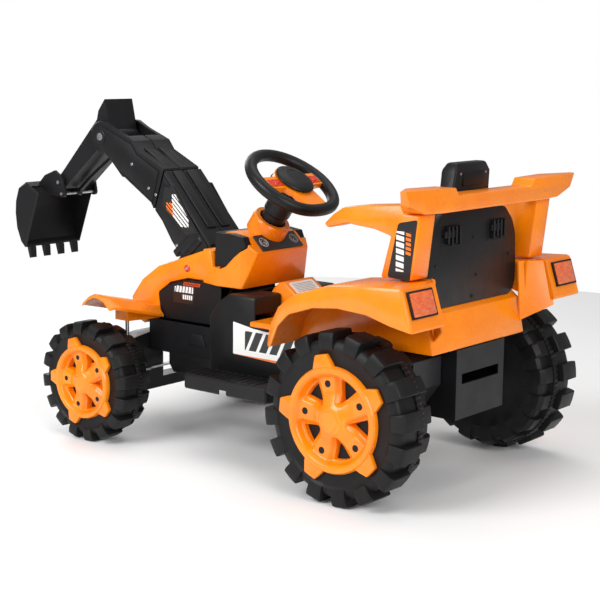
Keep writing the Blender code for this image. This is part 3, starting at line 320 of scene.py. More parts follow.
def moulded_plastic(name, base, shade, rough, grain_mm, grain_depth, coat=0.0, ior=1.49, mottle_mm=90.0):
    """An injection or blow moulded polyolefin. A slow mottle of the colour stands for the uneven
    flow of the melt, a fine grain for the spark-eroded mould, and worn or handled patches vary its
    roughness."""
    material, tree, out = blank_material(name)
    place = add_node(tree, "TexCoord").outputs["Object"]
    flow = add_node(tree, "TexNoise", {"Vector": place, "Scale": 1 / (mottle_mm * MM), "Detail": 3.0})
    colour = ramp_between(tree, flow.outputs["Fac"], linear(base), linear(shade))
    patch = add_node(tree, "TexNoise", {"Vector": place, "Scale": 1 / (35 * MM), "Detail": 5.0,
                                        "Roughness": 0.6})
    roughness = add_node(tree, "MapRange", {"Value": patch.outputs["Fac"], "From Min": 0.3, "From Max": 0.7,
                                            "To Min": rough - 0.05, "To Max": rough + 0.07})
    grain = add_node(tree, "TexVoronoi", {"Vector": place, "Scale": 1 / (grain_mm * MM)}, feature="SMOOTH_F1")
    fine = add_node(tree, "Bump", {"Height": grain.outputs["Distance"], "Strength": grain_depth,
                                   "Distance": 0.2 * MM})
    sink = add_node(tree, "TexNoise", {"Vector": place, "Scale": 1 / (60 * MM), "Detail": 1.0})
    wavy = add_node(tree, "Bump", {"Height": sink.outputs["Fac"], "Strength": 0.12, "Distance": 2 * MM,
                                   "Normal": fine.outputs["Normal"]})
    shader = add_node(tree, "BsdfPrincipled", {
        "Base Color": colour, "Roughness": roughness.outputs["Result"], "IOR": ior,
        "Normal": wavy.outputs["Normal"], "Coat Weight": coat, "Coat Roughness": 0.12})
    tree.links.new(shader.outputs["BSDF"], out.inputs["Surface"])
    return material


def zinc_steel():
    """Zinc-plated mild steel of pins, screws and shafts: a pale grey metal with fine drawn lines that
    catch the light along the rod and a slight cloudiness from the plating bath."""
    material, tree, out = blank_material("zinc_plated_steel")
    place = add_node(tree, "TexCoord").outputs["Object"]
    stretched = add_node(tree, "Mapping", {"Vector": place, "Scale": (0.06, 1.0, 1.0)})
    drawn = add_node(tree, "TexNoise", {"Vector": stretched.outputs["Vector"], "Scale": 1 / (0.9 * MM),
                                        "Detail": 2.0})
    cloud = add_node(tree, "TexNoise", {"Vector": place, "Scale": 1 / (12 * MM), "Detail": 3.0})
    colour = ramp_between(tree, cloud.outputs["Fac"], linear("#B9BABC"), linear("#D2D3D4"))
    rough = add_node(tree, "MapRange", {"Value": drawn.outputs["Fac"], "To Min": 0.22, "To Max": 0.42})
    bump = add_node(tree, "Bump", {"Height": drawn.outputs["Fac"], "Strength": 0.12, "Distance": 0.05 * MM})
    shader = add_node(tree, "BsdfPrincipled", {"Base Color": colour, "Metallic": 1.0,
                                               "Roughness": rough.outputs["Result"],
                                               "Normal": bump.outputs["Normal"]})
    tree.links.new(shader.outputs["BSDF"], out.inputs["Surface"])
    return material


def prismatic_lens():
    """A moulded acrylic reflector: rows of small prisms under a clear face, drawn as a lattice of orange-red cells
    4 mm wide so that they show. The pale orange cells among them are painted highlights of the prisms; the deep
    cells and the dark lines are the lens's own colour."""
    material, tree, out = blank_material("prismatic_acrylic")
    uv = add_node(tree, "TexCoord").outputs["UV"]
    # painted highlight: Color1, the pale orange, paints bright prism glints into some of the cells
    cells = add_node(tree, "TexBrick", {"Vector": uv, "Color1": linear("#F4A04E"),
                                        "Color2": linear(colours().lamp),
                                        "Mortar": linear("#C23A16"), "Scale": 9.0, "Mortar Size": 0.035,
                                        "Mortar Smooth": 0.4, "Brick Width": 0.9, "Row Height": 0.55})
    cloud = add_node(tree, "TexNoise", {"Vector": uv, "Scale": 4.0, "Detail": 2.0})
    mixed = add_node(tree, "Mix", {0: cloud.outputs["Fac"], 6: cells.outputs["Color"], 7: linear("#DC4A1C")},
                     data_type="RGBA")
    bump = add_node(tree, "Bump", {"Height": cells.outputs["Fac"], "Strength": 0.5, "Distance": 0.6 * MM},
                    invert=True)
    shader = add_node(tree, "BsdfPrincipled", {"Base Color": mixed.outputs[2], "Roughness": 0.16,
                                               "Coat Weight": 0.8, "Normal": bump.outputs["Normal"]})
    tree.links.new(shader.outputs["BSDF"], out.inputs["Surface"])
    return material


MATERIALS = {}


def finish_of(name):
    """A material of this digger, made once."""
    if not MATERIALS:
        c = colours()
        # Orange polypropylene, injection moulded in a polished tool: smooth, bright, a soft sheen.
        MATERIALS["orange"] = moulded_plastic("orange_polypropylene", c.orange, c.orange_deep, 0.27, 2.4,
                                              0.05, 0.15)
        # Black polypropylene, injection moulded in an etched tool: satin with a fine leather grain.
        MATERIALS["black"] = moulded_plastic("black_polypropylene", c.black, "#17171A", 0.40, 2.6, 0.35,
                                             ior=1.36)
        # Black polyethylene, blow moulded: slightly waxy, a little paler where the wall is thin.
        MATERIALS["tyre"] = moulded_plastic("blow_moulded_polyethylene", c.tyre, "#151516", 0.46, 3.2, 0.45,
                                            ior=1.33)
        # Grey ABS of gearboxes and knuckles: satin and even.
        MATERIALS["grey"] = moulded_plastic("grey_abs", c.grey, "#28282B", 0.44, 2.2, 0.25)
        # Red ABS of switches: polished.
        MATERIALS["red"] = moulded_plastic("red_abs", c.red, "#C42C14", 0.25, 2.0, 0.05, 0.3)
        MATERIALS["steel"] = zinc_steel()
        MATERIALS["lens"] = prismatic_lens()
    return MATERIALS[name]


FINISH_OF_SLOT = {"black_plastic": "black", "orange_plastic": "orange", "tyre_plastic": "tyre",
                  "grey_plastic": "grey", "red_plastic": "red", "lamp_red": "lens", "steel": "steel"}


# ---------------------------------------------------------------- operators

class DIGGER_OT_stage(bpy.types.Operator):
    """Floor, soft light and camera"""

    bl_idname = "digger.stage"
    bl_label = "Stage"

    def execute(self, context):
        material, tree, out = blank_material("painted_floor")
        place = add_node(tree, "TexCoord").outputs["Object"]
        speck = add_node(tree, "TexNoise", {"Vector": place, "Scale": 1.5, "Detail": 2.0})
        colour = ramp_between(tree, speck.outputs["Fac"], linear(colours().floor), linear("#F6F6F6"))
        shader = add_node(tree, "BsdfPrincipled", {"Base Color": colour, "Roughness": 0.6})
        tree.links.new(shader.outputs["BSDF"], out.inputs["Surface"])
        turn = np.linspace(0, 2 * math.pi, FLOOR_STEPS, endpoint=False)
        corners = np.column_stack([FLOOR_RADIUS * np.cos(turn), FLOOR_RADIUS * np.sin(turn), 0 * turn])
        mesh = bpy.data.meshes.new("floor")
        mesh.from_pydata(corners.tolist(), [], [list(range(FLOOR_STEPS))])
        mesh.materials.append(material)
        floor = bpy.data.objects.new("floor", mesh)
        context.scene.collection.objects.link(floor)

        world = bpy.data.worlds.new("studio")
        context.scene.world = world
        world.use_nodes = True
        tree = world.node_tree
        lit = tree.nodes["Background"]
        lit.inputs["Color"].default_value = (1, 1, 1, 1)
        lit.inputs["Strength"].default_value = 0.32
        seen = add_node(tree, "Background", {"Color": (1, 1, 1, 1), "Strength": 1.0})
        # the backdrop is white where it is seen, and lights the digger less than that
        path = add_node(tree, "LightPath")
        both = add_node(tree, "MixShader", {0: path.outputs["Is Camera Ray"], 1: lit.outputs[0],
                                            2: seen.outputs[0]})
        tree.links.new(both.outputs[0], tree.nodes["World Output"].inputs["Surface"])
        for name, position, size, power in (("key", (2.6, -0.4, 1.9), 1.7, 74),
                                            ("fill", (1.2, 3.2, 1.7), 2.0, 66),
                                            ("top", (-0.6, 0.2, 3.2), 2.6, 32),
                                            ("front", (-1.6, -2.8, 1.6), 2.0, 34)):
            light = bpy.data.lights.new(name, "AREA")
            light.size = size
            light.energy = power
            lamp = bpy.data.objects.new(name, light)
            lamp.location = position
            lamp.rotation_euler = (Vector((0, 0,
                                           0.25)) - Vector(position)).to_track_quat("-Z", "Y").to_euler()
            context.scene.collection.objects.link(lamp)

        elevation, distance = math.radians(9.60), 2.8078
        target = Vector((0, REAR_AXLE_Y - 0.305, 0.2801))
        around = sizes().azimuth
        away = Vector((math.cos(elevation) * math.cos(around), math.cos(elevation) * math.sin(around),
                       math.sin(elevation)))
        data = bpy.data.cameras.new("camera")
        data.lens, data.sensor_width = sizes().lens, 36.0
        data.shift_x, data.shift_y = 0.0028, 0.0033
        camera = bpy.data.objects.new("camera", data)
        context.scene.view_settings.view_transform = "Standard"
        turn = (-away).to_track_quat("-Z", "Y").to_matrix().to_4x4()
        roll = Matrix.Rotation(math.radians(0.545), 4, "Z")
        camera.matrix_world = Matrix.Translation(target + away * distance) @ turn @ roll
        context.scene.collection.objects.link(camera)
        context.scene.camera = camera
        return {"FINISHED"}


class DIGGER_OT_cad_finishes(bpy.types.Operator):
    """A procedural finish on every CAD node that shows as it is"""

    bl_idname = "digger.cad_finishes"
    bl_label = "Finishes of the frame"

    def execute(self, context):
        for node, piece in frame["nodes"].items():
            piece.data.materials.clear()
            piece.data.materials.append(finish_of(FINISH_OF_SLOT[SLOT_OF[node]]))
        return {"FINISHED"}


def tyre_part(outer_x, width, radius, seat, count, depth, ribs, side):
    """A tyre about X through the origin. Its section runs over the outer wall, the tread and the
    inner wall; at angle a each section point is base + lug(a) (raised - base), where lug is a
    flat-topped wave that is one on a tread block and nought between blocks."""
    rise = np.array([0, 0.9, 1, 1, 1, 1, 1, 1, 0.9, 0, 0, 0, 0])
    share = np.array([0.0, 0.015, 0.04, 0.14, 0.24, 0.34, 0.44, 0.54, 0.565, 0.58, 0.69, 0.80, 0.90])
    angle = ((np.arange(count)[:, None] + share[None]) * 2 * math.pi / count).ravel()
    lug = np.tile(rise, count)
    floor = radius - depth
    k = radius / 0.150
    section = np.array([  # x from the face, base radius, x of the block, radius of the block
        [0.0110, seat, 0.0110, seat], [0.0066, seat + 0.002, 0.0066, seat + 0.002],
        [0.0058, 0.1130 * k, 0.0058, 0.1130 * k], [0.0044, 0.1165 * k, 0.0044, 0.1165 * k],
        [0.0030, 0.1200 * k, 0.0012, 0.1200 * k], [0.0042, 0.1262 * k, 0.0004, 0.1300 * k],
        [0.0075, floor - 0.004, 0.0012, radius - 0.0080], [0.0110, floor - 0.001, 0.0034, radius - 0.0022],
        [0.0160, floor, 0.0074, radius], [width * 0.30, floor, width * 0.30, radius],
        [width * 0.485, floor, width * 0.485, radius], [width * 0.50, floor, width * 0.50, radius - 0.0012],
        [width * 0.505, floor - 0.0010, width * 0.505, floor - 0.0010],
        [width * 0.655, floor - 0.0010, width * 0.655, floor - 0.0010],
        [width * 0.665, floor - 0.0070, width * 0.665, floor + 0.0006],
        [width * 0.88, floor - 0.0080, width * 0.88, floor - 0.0006],
        [width * 0.94, 0.1230 * k, width * 0.97, 0.1290 * k],
        [width * 0.96, 0.1150 * k, width * 0.985, 0.1180 * k],
        [width * 0.975, 0.1000 * k, width * 0.975, 0.1000 * k],
        [width * 0.90, 0.0840 * k, width * 0.90, 0.0840 * k],
        [width * 0.86, 0.0400 * k, width * 0.86, 0.0400 * k],
        [width * 0.90, 0.0180 * k, width * 0.90, 0.0180 * k],
        [width * 0.90, 0.0066, width * 0.90, 0.0066], [width * 0.84, 0.0066, width * 0.84, 0.0066],
        [width * 0.80, 0.0400 * k, width * 0.80, 0.0400 * k],
        [width * 0.50, seat - 0.004, width * 0.50, seat - 0.004]])
    base_x, base_r, top_x, top_r = (section[:, i][None] for i in range(4))
    w = lug[:, None]
    x = outer_x - (base_x + w * (top_x - base_x))
    r = base_r + w * (top_r - base_r)
    a = angle[:, None]
    body = torus_mesh(np.stack([side * x, r * np.cos(a) * 1.0, r * np.sin(a)], axis=-1))
    # the middle band: ribs are a square wave of the angle on the radius
    steps = ribs * 4
    b = np.linspace(0, 2 * math.pi, steps, endpoint=False)[:, None]
    wave = np.tile([0, 0, 1, 1], ribs)[:, None] * 0.0016 * k
    across = np.array([0.504, 0.512, 0.55, 0.582, 0.615, 0.650, 0.658])[None] * width
    crest = np.array([-0.004, 0.0016, 0.0026, 0.0028, 0.0026, 0.0016, -0.004])[None] * k
    rr = floor + crest + wave * (np.abs(across / width - 0.581) < 0.072)
    band_rings = np.stack([side * (outer_x - across + 0 * b), rr * np.cos(b), rr * np.sin(b)], axis=-1)
    index = np.arange(steps * 7).reshape(steps, 7)
    up = np.roll(index, -1, axis=0)
    faces = np.stack([index[:, :-1], index[:, 1:], up[:, 1:], up[:, :-1]], axis=-1).reshape(-1, 4).tolist()
    band = band_rings.reshape(-1, 3), faces
    both = merged(body, band)
    return (both[0], [f[::-1] for f in both[1]]) if side > 0 else both


class DIGGER_OT_tyres(bpy.types.Operator):
    """Blow-moulded tyres with square blocks and a ribbed middle band"""

    bl_idname = "digger.tyres"
    bl_label = "Tyres"

    def execute(self, context):
        s = sizes()
        for place, seat in (("rear", 0.0895), ("front", 0.0700)):
            for name, side in SIDES:
                node = f"tyre_{place}_{name}"
                low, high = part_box(node)
                outer = max(abs(low.x), abs(high.x))
                width = high.x - low.x
                radius = (high.z - low.z) / 2
                part = tyre_part(outer, width, radius, seat, s.lugs, s.lug_depth * radius / 0.150, s.ribs,
                                 side)
                y, z = axle_of(node)
                part = moved(part, Matrix.Translation((0, y, z)))
                make_piece("tread_" + place + "_" + name, part, finish_of("tyre"), BODY_OF[node],
                           (node,), angle=30)
        return {"FINISHED"}


def smooth_step(x, low, high):
    """Nought below low, one above high, and 3t^2 - 2t^3 between."""
    t = np.clip((x - low) / (high - low), 0, 1)
    return t * t * (3 - 2 * t)


def hub_part(disc, reach, first_angle):
    """A wheel hub facing +Z, as a height field over (radius, angle) about its axle. The height is a
    ring-shaped bowl between the rim and the boss, less a pocket between each two spokes and a deeper
    window in its middle, plus the raised ring, the boss and its five-sided crown."""
    rows, steps = 60, 360
    k = disc / 0.092
    rho = np.linspace(0.0, 1.0, rows)[:, None] * disc
    angle = np.linspace(0, 2 * math.pi, steps, endpoint=False)[None]
    sector = (angle + math.radians(36)) % math.radians(72) - math.radians(36)
    off_spoke = rho * np.abs(np.sin(sector))
    along = rho * np.cos(sector)
    half_spoke = 0.0080 * k + 0.10 * along
    inside = smooth_step(off_spoke, half_spoke - 0.001 * k, half_spoke + 0.0095 * k)
    radial = smooth_step(rho, 0.026 * k, 0.034 * k) * (1 - smooth_step(rho, 0.0735 * k, 0.0775 * k))
    pocket = inside * radial
    hole_half = 0.0130 * k + 0.186 * along
    window = smooth_step(off_spoke, hole_half, hole_half + 0.0022 * k)
    window = window * smooth_step(rho, 0.030 * k, 0.034 * k) * (1 - smooth_step(rho, 0.068 * k, 0.0705 * k))
    bowl = smooth_step(rho, 0.020 * k, 0.050 * k) * (1 - smooth_step(rho, 0.0705 * k, 0.0800 * k))
    height = -0.0005 * (rho / disc) ** 2 - 0.0090 * k * bowl - 0.007 * k * pocket - 0.012 * window
    height = height + 0.0016 * smooth_step(rho, 0.079 * k,
                                           0.081 * k) * (1 - smooth_step(rho, 0.0885 * k, 0.0915 * k))
    height = height + 0.0020 * k * (1 - smooth_step(rho, 0.0225 * k, 0.0255 * k))
    edge = 0.0165 * k / np.cos((angle + math.radians(36)) % math.radians(72) - math.radians(36))
    height = height + 0.0015 * k * (1 - smooth_step(rho, edge - 0.001, edge + 0.0006))
    height = height - 0.0035 * smooth_step(rho, disc - 0.0025 * k, disc)
    turn = angle + first_angle
    top = np.stack([rho * np.cos(turn), rho * np.sin(turn), height], axis=-1)
    rim = np.stack([disc * np.cos(turn[0]), disc * np.sin(turn[0]), np.full(steps, -0.026)], axis=-1)[None]
    face = rings_to_mesh(np.concatenate([top, rim])[::-1], capped=False)
    tabs = []
    for i in range(5):
        outline = np.array([[disc - 0.010 * k, -0.0235 * k], [disc + 0.004 * k, -0.0190 * k],
                            [reach, -0.0120 * k],
                            [reach, 0.0120 * k], [disc + 0.004 * k, 0.0190 * k],
                            [disc - 0.010 * k, 0.0235 * k]])
        outline = rounded_polygon(outline, 0.003 * k)
        tabs.append(moved(plate(outline, -0.014 * k, -0.0012, 0.0016),
                          Matrix.Rotation(first_angle + i * math.radians(72), 4, "Z")))
    return merged(face, *tabs)


class DIGGER_OT_hubs(bpy.types.Operator):
    """Spoked wheel covers with five pockets, five tabs and a five-sided boss"""

    bl_idname = "digger.hubs"
    bl_label = "Wheel covers"

    def execute(self, context):
        for place, disc, reach, start in (("rear", 0.092, 0.112, 102.4), ("front", 0.0724, 0.088, 107.6)):
            for name, side in SIDES:
                node = f"hub_{place}_{name}"
                low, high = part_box(node)
                x = max(abs(low.x), abs(high.x)) * side
                y, z = axle_of(f"tyre_{place}_{name}")
                spot = placed((x - side * 0.0015, y, z), (side, 0, 0), (0, 1, 0))
                first = math.radians(start)
                part = hub_part(disc, reach, first)
                make_piece(f"cover_{place}_{name}", moved(part, spot), finish_of("orange"), BODY_OF[node],
                           (node,), angle=40)
                k = disc / 0.092
                # painted shade: a dark disc behind the five windows and a dark dot over each of the five holes
                # stand for the shade inside the cover
                dark = [turned([(0, -0.0255), (disc * 0.88, -0.0255), (disc * 0.88, -0.0245), (0, -0.0245)],
                               40)]
                for i in range(5):
                    a = first + i * math.radians(72)
                    hole_shade = turned([(0.0062 * k, -0.004), (0.0062 * k, 0.0), (0.0056 * k, 0.0002),
                                   (0, 0.0002)], 24)
                    dark.append(moved(hole_shade, Matrix.Translation((
                        0.0615 * k * math.cos(a), 0.0615 * k * math.sin(a), -0.0090 * k - 0.0002))))
                make_piece(f"painted_shade_hub_{place}_{name}", moved(merged(*dark), spot), finish_of("tyre"),
                           BODY_OF[node])
        return {"FINISHED"}


SOFT_EDGES = {  # node: radius of its edges, in metres
    "chassis_tub": 0.004, "step_left": 0.002, "step_right": 0.002, "front_beam": 0.002, "hood": 0.004,
    "boom_socket": 0.003, "front_cowl": 0.002, "dash_panel": 0.0008, "fender_front_left": 0.0,
    "fender_front_right": 0.0, "boom_lower_left": 0.002, "boom_lower_right": 0.002, "boom_upper_left": 0.002,
    "boom_upper_right": 0.002, "stick": 0.0015, "bucket": 0.001, "rear_body": 0.004, "frame_left": 0.003,
    "frame_right": 0.003, "spoiler": 0.003, "seat": 0.004, "steering_stem": 0.001,
    "wheel_insert": 0.0015, "lamp_bezel_left": 0.0006, "lamp_bezel_right": 0.0006,
}


class DIGGER_OT_shells(bpy.types.Operator):
    """The moulded shells with rounded edges"""

    bl_idname = "digger.shells"
    bl_label = "Moulded shells"

    def execute(self, context):
        for node, radius in SOFT_EDGES.items():
            softened(node, finish_of(FINISH_OF_SLOT[SLOT_OF[node]]), radius)
        return {"FINISHED"}


def label_film(name, ground, marks):
    """Printed vinyl film on a moulding: flat, evenly coloured, a low gloss over-laminate. marks are
    (u low, u high, v low, v high, bars, share, slant, along, colour): bars cut across a box of the
    film's own UV, run along u or v, and lean by the slant."""
    material, tree, out = blank_material(name)
    uv = add_node(tree, "SeparateXYZ", {"Vector": add_node(tree, "TexCoord").outputs["UV"]})
    axes = {"u": uv.outputs["X"], "v": uv.outputs["Y"]}
    dust = add_node(tree, "TexNoise", {"Vector": add_node(tree, "TexCoord").outputs["Object"],
                                       "Scale": 1 / (18 * MM), "Detail": 4.0})
    colour = linear(ground)
    for u_low, u_high, v_low, v_high, bars, share, slant, along, ink in marks:
        span = {"u": (u_low, u_high), "v": (v_low, v_high)}
        mask = None
        lean = add_node(tree, "Math", {0: axes["v" if along == "u" else "u"], 1: slant, 2: axes[along]},
                        operation="MULTIPLY_ADD")
        for value, (low, high) in ((axes["u"], span["u"]), (axes["v"], span["v"])):
            above = add_node(tree, "Math", {0: value, 1: low}, operation="GREATER_THAN")
            below = add_node(tree, "Math", {0: value, 1: high}, operation="LESS_THAN")
            both = add_node(tree, "Math", {0: above.outputs[0], 1: below.outputs[0]}, operation="MULTIPLY")
            mask = both if mask is None else add_node(
                tree, "Math", {0: mask.outputs[0], 1: both.outputs[0]}, operation="MULTIPLY")
        low, high = span[along]
        part = add_node(tree, "MapRange", {"Value": lean.outputs[0], "From Min": low, "From Max": high,
                                           "To Min": 0.0, "To Max": float(bars)}, clamp=False)
        beat = add_node(tree, "Math", {0: part.outputs["Result"]}, operation="FRACT")
        on = add_node(tree, "Math", {0: beat.outputs[0], 1: share}, operation="LESS_THAN")
        mask = add_node(tree, "Math", {0: mask.outputs[0], 1: on.outputs[0]}, operation="MULTIPLY")
        blend = add_node(tree, "Mix", {0: mask.outputs[0], 6: colour, 7: linear(ink)}, data_type="RGBA")
        colour = blend.outputs[2]
    rough = add_node(tree, "MapRange", {"Value": dust.outputs["Fac"], "To Min": 0.26, "To Max": 0.40})
    shader = add_node(tree, "BsdfPrincipled", {"Base Color": colour, "Roughness": rough.outputs["Result"],
                                               "Coat Weight": 0.25, "Coat Roughness": 0.2})
    tree.links.new(shader.outputs["BSDF"], out.inputs["Surface"])
    return material


def stick_on(name, outline, spot, material, body, thick=0.0005, radius=0.003):
    """A film cut to a flat outline and laid on a plane; its UV runs from nought to one over its box."""
    outline = rounded_polygon(outline, radius)
    part = plate(outline, -0.0003, thick, 0.0002, 2)
    flat = part[0][:, :2]
    uv = (flat - flat.min(axis=0)) / (flat.max(axis=0) - flat.min(axis=0))
    return make_piece(name, moved(part, spot), material, body, uv=uv)


def side_plane(x, side):
    """The plane of a side at x, with its own x toward the rear on the left and the front on the right."""
    return placed((side * x, REAR_AXLE_Y, 0), (side, 0, 0), (0, side, 0))


def side_outline(corners, side):
    """(y, z) corners from the rear axle as a counter-clockwise outline on a side plane."""
    points = np.array(corners, float) * (side, 1.0)
    area = np.sum(points[:, 0] * np.roll(points[:, 1], -1) - points[:, 1] * np.roll(points[:, 0], -1))
    return points if area > 0 else points[::-1]


WHITE, ORANGE_INK, DARK = "#ECECEA", "#F0761A", "#19191B"


class DIGGER_OT_labels(bpy.types.Operator):
    """Plain striped labels on the bonnet sides, posts, body and hump"""

    bl_idname = "digger.labels"
    bl_label = "Labels"

    def execute(self, context):
        post = label_film("post_label_film", DARK, [
            (0.28, 0.56, 0.14, 0.80, 6, 0.72, 0.10, "v", WHITE),
            (0.62, 0.80, 0.42, 0.80, 5, 0.66, 0.10, "v", ORANGE_INK)])
        cowl = label_film("bonnet_label_film", DARK, [
            (0.08, 0.92, 0.52, 0.82, 6, 0.74, -0.12, "u", WHITE),
            (0.42, 0.88, 0.20, 0.42, 5, 0.70, -0.10, "u", WHITE)])
        strip = label_film("bonnet_strip_film", "#C9471A", [(0.06, 0.94, 0.25, 0.75, 9, 0.6, -0.2, "u",
                                                             DARK)])
        body = label_film("body_label_film", colours().label_white, [
            (0.14, 0.98, 0.28, 0.80, 7, 0.70, -0.16, "u", DARK),
            (0.0, 1.0, 0.0, 0.13, 1, 1.0, 0.0, "u", ORANGE_INK)])
        notice = label_film("hump_label_film", "#F0EFEA", [
            (0.0, 1.0, 0.74, 1.0, 1, 1.0, 0.0, "u", "#C8322E"),
            (0.10, 0.90, 0.12, 0.66, 6, 0.35, 0.0, "v", "#8C8C8C")])
        for name, side in SIDES:
            stick_on("label_post_" + name, side_outline([(.076, .481), (.114, .489), (.101, .387),
                                                         (.056, .390)], side),
                     side_plane(0.2130, side), post, "chassis", radius=0.005)
            stick_on("label_bonnet_" + name,
                     side_outline([(-.560, .293), (-.520, .304), (-.500, .302), (-.505, .262),
                                   (-.560, .262)], side),
                     side_plane(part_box("front_cowl")[1].x, side), cowl, "chassis")
            stick_on("label_strip_" + name,
                     side_outline([(-.530, .3055), (-.485, .3055), (-.487, .2985), (-.532, .2985)], side),
                     side_plane(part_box("front_cowl")[1].x + 0.0006, side), strip, "chassis",
                     radius=0.001)
            stick_on("label_body_" + name,
                     side_outline([(-.362, .252), (-.312, .2440), (-.150, .232), (-.150, .181),
                                   (-.362, .190)], side),
                     side_plane(0.1250, side), body, "chassis", radius=0.002)
        slope = placed((0, REAR_AXLE_Y - 0.2835, 0.3085), (0, 0.597, 0.802), (1, 0, 0))
        stick_on("label_hump", [(-.036, -.022), (.036, -.022), (.036, .022), (-.036, .022)], slope, notice,
                 "chassis", radius=0.006)
        return {"FINISHED"}


BOOM_UPPER = [(-.6445, .4400), (-.6175, .5190), (-.6835, .5520), (-.6985, .5720), (-.7580, .5960),
              (-.7700, .6010),
              (-.7880, .6080), (-.8060, .6060), (-.8200, .5940), (-.8235, .5800), (-.8180, .5650),
              (-.7960, .5500),
              (-.7340, .5035), (-.7260, .5020), (-.6510, .4550)]
BOOM_LOWER = [(-.6115, .5180), (-.4870, .3810), (-.4800, .3400), (-.5560, .3400), (-.5630, .3470),
              (-.5930, .3810),
              (-.6190, .4190), (-.6385, .4400)]


def screw_part(radius):
    """A pan head screw about +Z: a profile that runs up a short side and over a low dome, turned."""
    return turned([(0, 0.0), (radius, 0.0), (radius, 0.0006), (radius * 0.86, 0.0013), (radius * 0.4, 0.0016),
                   (0, 0.0016)], 20)


class DIGGER_OT_boom_details(bpy.types.Operator):
    """Raised side panels, top ribs, collars and screws of the boom"""

    bl_idname = "digger.boom_details"
    bl_label = "Boom details"

    def execute(self, context):
        black = finish_of("black")
        for name, side in SIDES:
            for part, outline, inset in (("upper", BOOM_UPPER, 0.0065), ("lower", BOOM_LOWER, 0.0070)):
                flat = inward(side_outline(outline, side), inset)
                panel = plate(flat, -0.001, 0.0018, 0.0014)
                make_piece(f"panel_boom_{part}_{name}", moved(panel, side_plane(BOOM_SIDE_X, side)), black,
                           "chassis")
            label = side_outline([(-.606, .487), (-.585, .487), (-.520, .402), (-.545, .398), (-.612, .452)],
                                 side)
            raised = plate(inward(label, -0.004), 0.0012, 0.0042, 0.0016)
            make_piece(f"boss_boom_{name}", moved(raised, side_plane(BOOM_SIDE_X, side)), black, "chassis")
            art = label_film(f"boom_label_film_{name}", DARK, [
                (0.30, 0.80, 0.14, 0.86, 7, 0.66, 0.9, "v", WHITE)] + [
                (0.12, 0.34, 0.30, 0.66, 4, 0.60, 0.9, "v", ORANGE_INK)])
            stick_on(f"label_boom_{name}", label, side_plane(0.0592, side), art, "chassis")
            screws = [moved(screw_part(0.0034),
                            side_plane(0.0568, side) @ Matrix.Translation((side * y, z, 0)))
                      for y, z in ((-.632, .470), (-.652, .482), (-.574, .372), (-.700, .528))]
            make_piece(f"screws_boom_{name}", merged(*screws), finish_of("steel"), "chassis")
            pin_spot = side_plane(BOOM_SIDE_X + 0.0002, side) @ Matrix.Translation((
                side * BOOM_PIN[0], BOOM_PIN[1], 0))
            pin = moved(turned([(0, 0), (0.0062, 0), (0.0062, 0.0010), (0.0050, 0.0022), (0, 0.0026)], 28),
                        pin_spot)
            ring = turned([(0.0085, 0), (0.0150, 0), (0.0150, 0.0026), (0.0136, 0.0034), (0.0098, 0.0034),
                           (0.0085, 0.0026)], 32)
            rim = moved((ring[0], ring[1][:-2]), pin_spot)
            make_piece(f"cap_stick_pin_{name}", pin, finish_of("steel"), "chassis")
            make_piece(f"collar_stick_pin_{name}", rim, black, "chassis")
        # collars round the lower boom: rounded rectangles carried square to the boom's line
        along = Vector((0, -0.1265, 0.139)).normalized()
        for i, (share, grow) in enumerate(((0.052, 0.0025), (0.030, 0.0050))):
            centre = Vector((0, REAR_AXLE_Y - 0.518, 0.341)) + along * share
            wide, tall = 0.055 + grow, 0.0385 + grow
            box = rounded_polygon([(-wide, -tall), (wide, -tall), (wide, tall), (-wide, tall)], 0.008)
            make_piece(f"collar_boom_{i}", moved(plate(box, -0.007, 0.007, 0.002),
                                                 placed(centre, along, (1, 0, 0))),
                       black, "chassis")
        # ribs along the top of the boom: a low round-topped bar each side of the middle seam
        for name, side in SIDES:
            for part, start, end in (("upper", (-.690, .560), (-.622, .522)),
                                     ("lower", (-.608, .5175), (-.510, .410))):
                a, b = (Vector((side * 0.020, REAR_AXLE_Y + y, z)) for y, z in (start, end))
                length = (b - a).length
                bar = rounded_polygon([(-.0135, 0), (.0135, 0), (.0135, length), (-.0135, length)], 0.004)
                up = (b - a).normalized().cross(Vector((1, 0, 0)))
                up = up if up.z > 0 else -up
                x_axis = (b - a).normalized().cross(up)
                make_piece(f"rib_boom_{part}_{name}", moved(plate(bar, -0.001, 0.0024, 0.0012),
                                                            placed(a, up, x_axis)),
                           black, "chassis")
        return {"FINISHED"}


def steering_spot():
    """The steering wheel's own frame: origin at its middle, +Z up the column."""
    low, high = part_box("steering_rim")
    middle = (low + high) / 2
    joint = next(j for j in frame["joints"] if j["name"] == "steering_wheel_turn")
    return placed(middle, joint["axis"], (1, 0, 0))


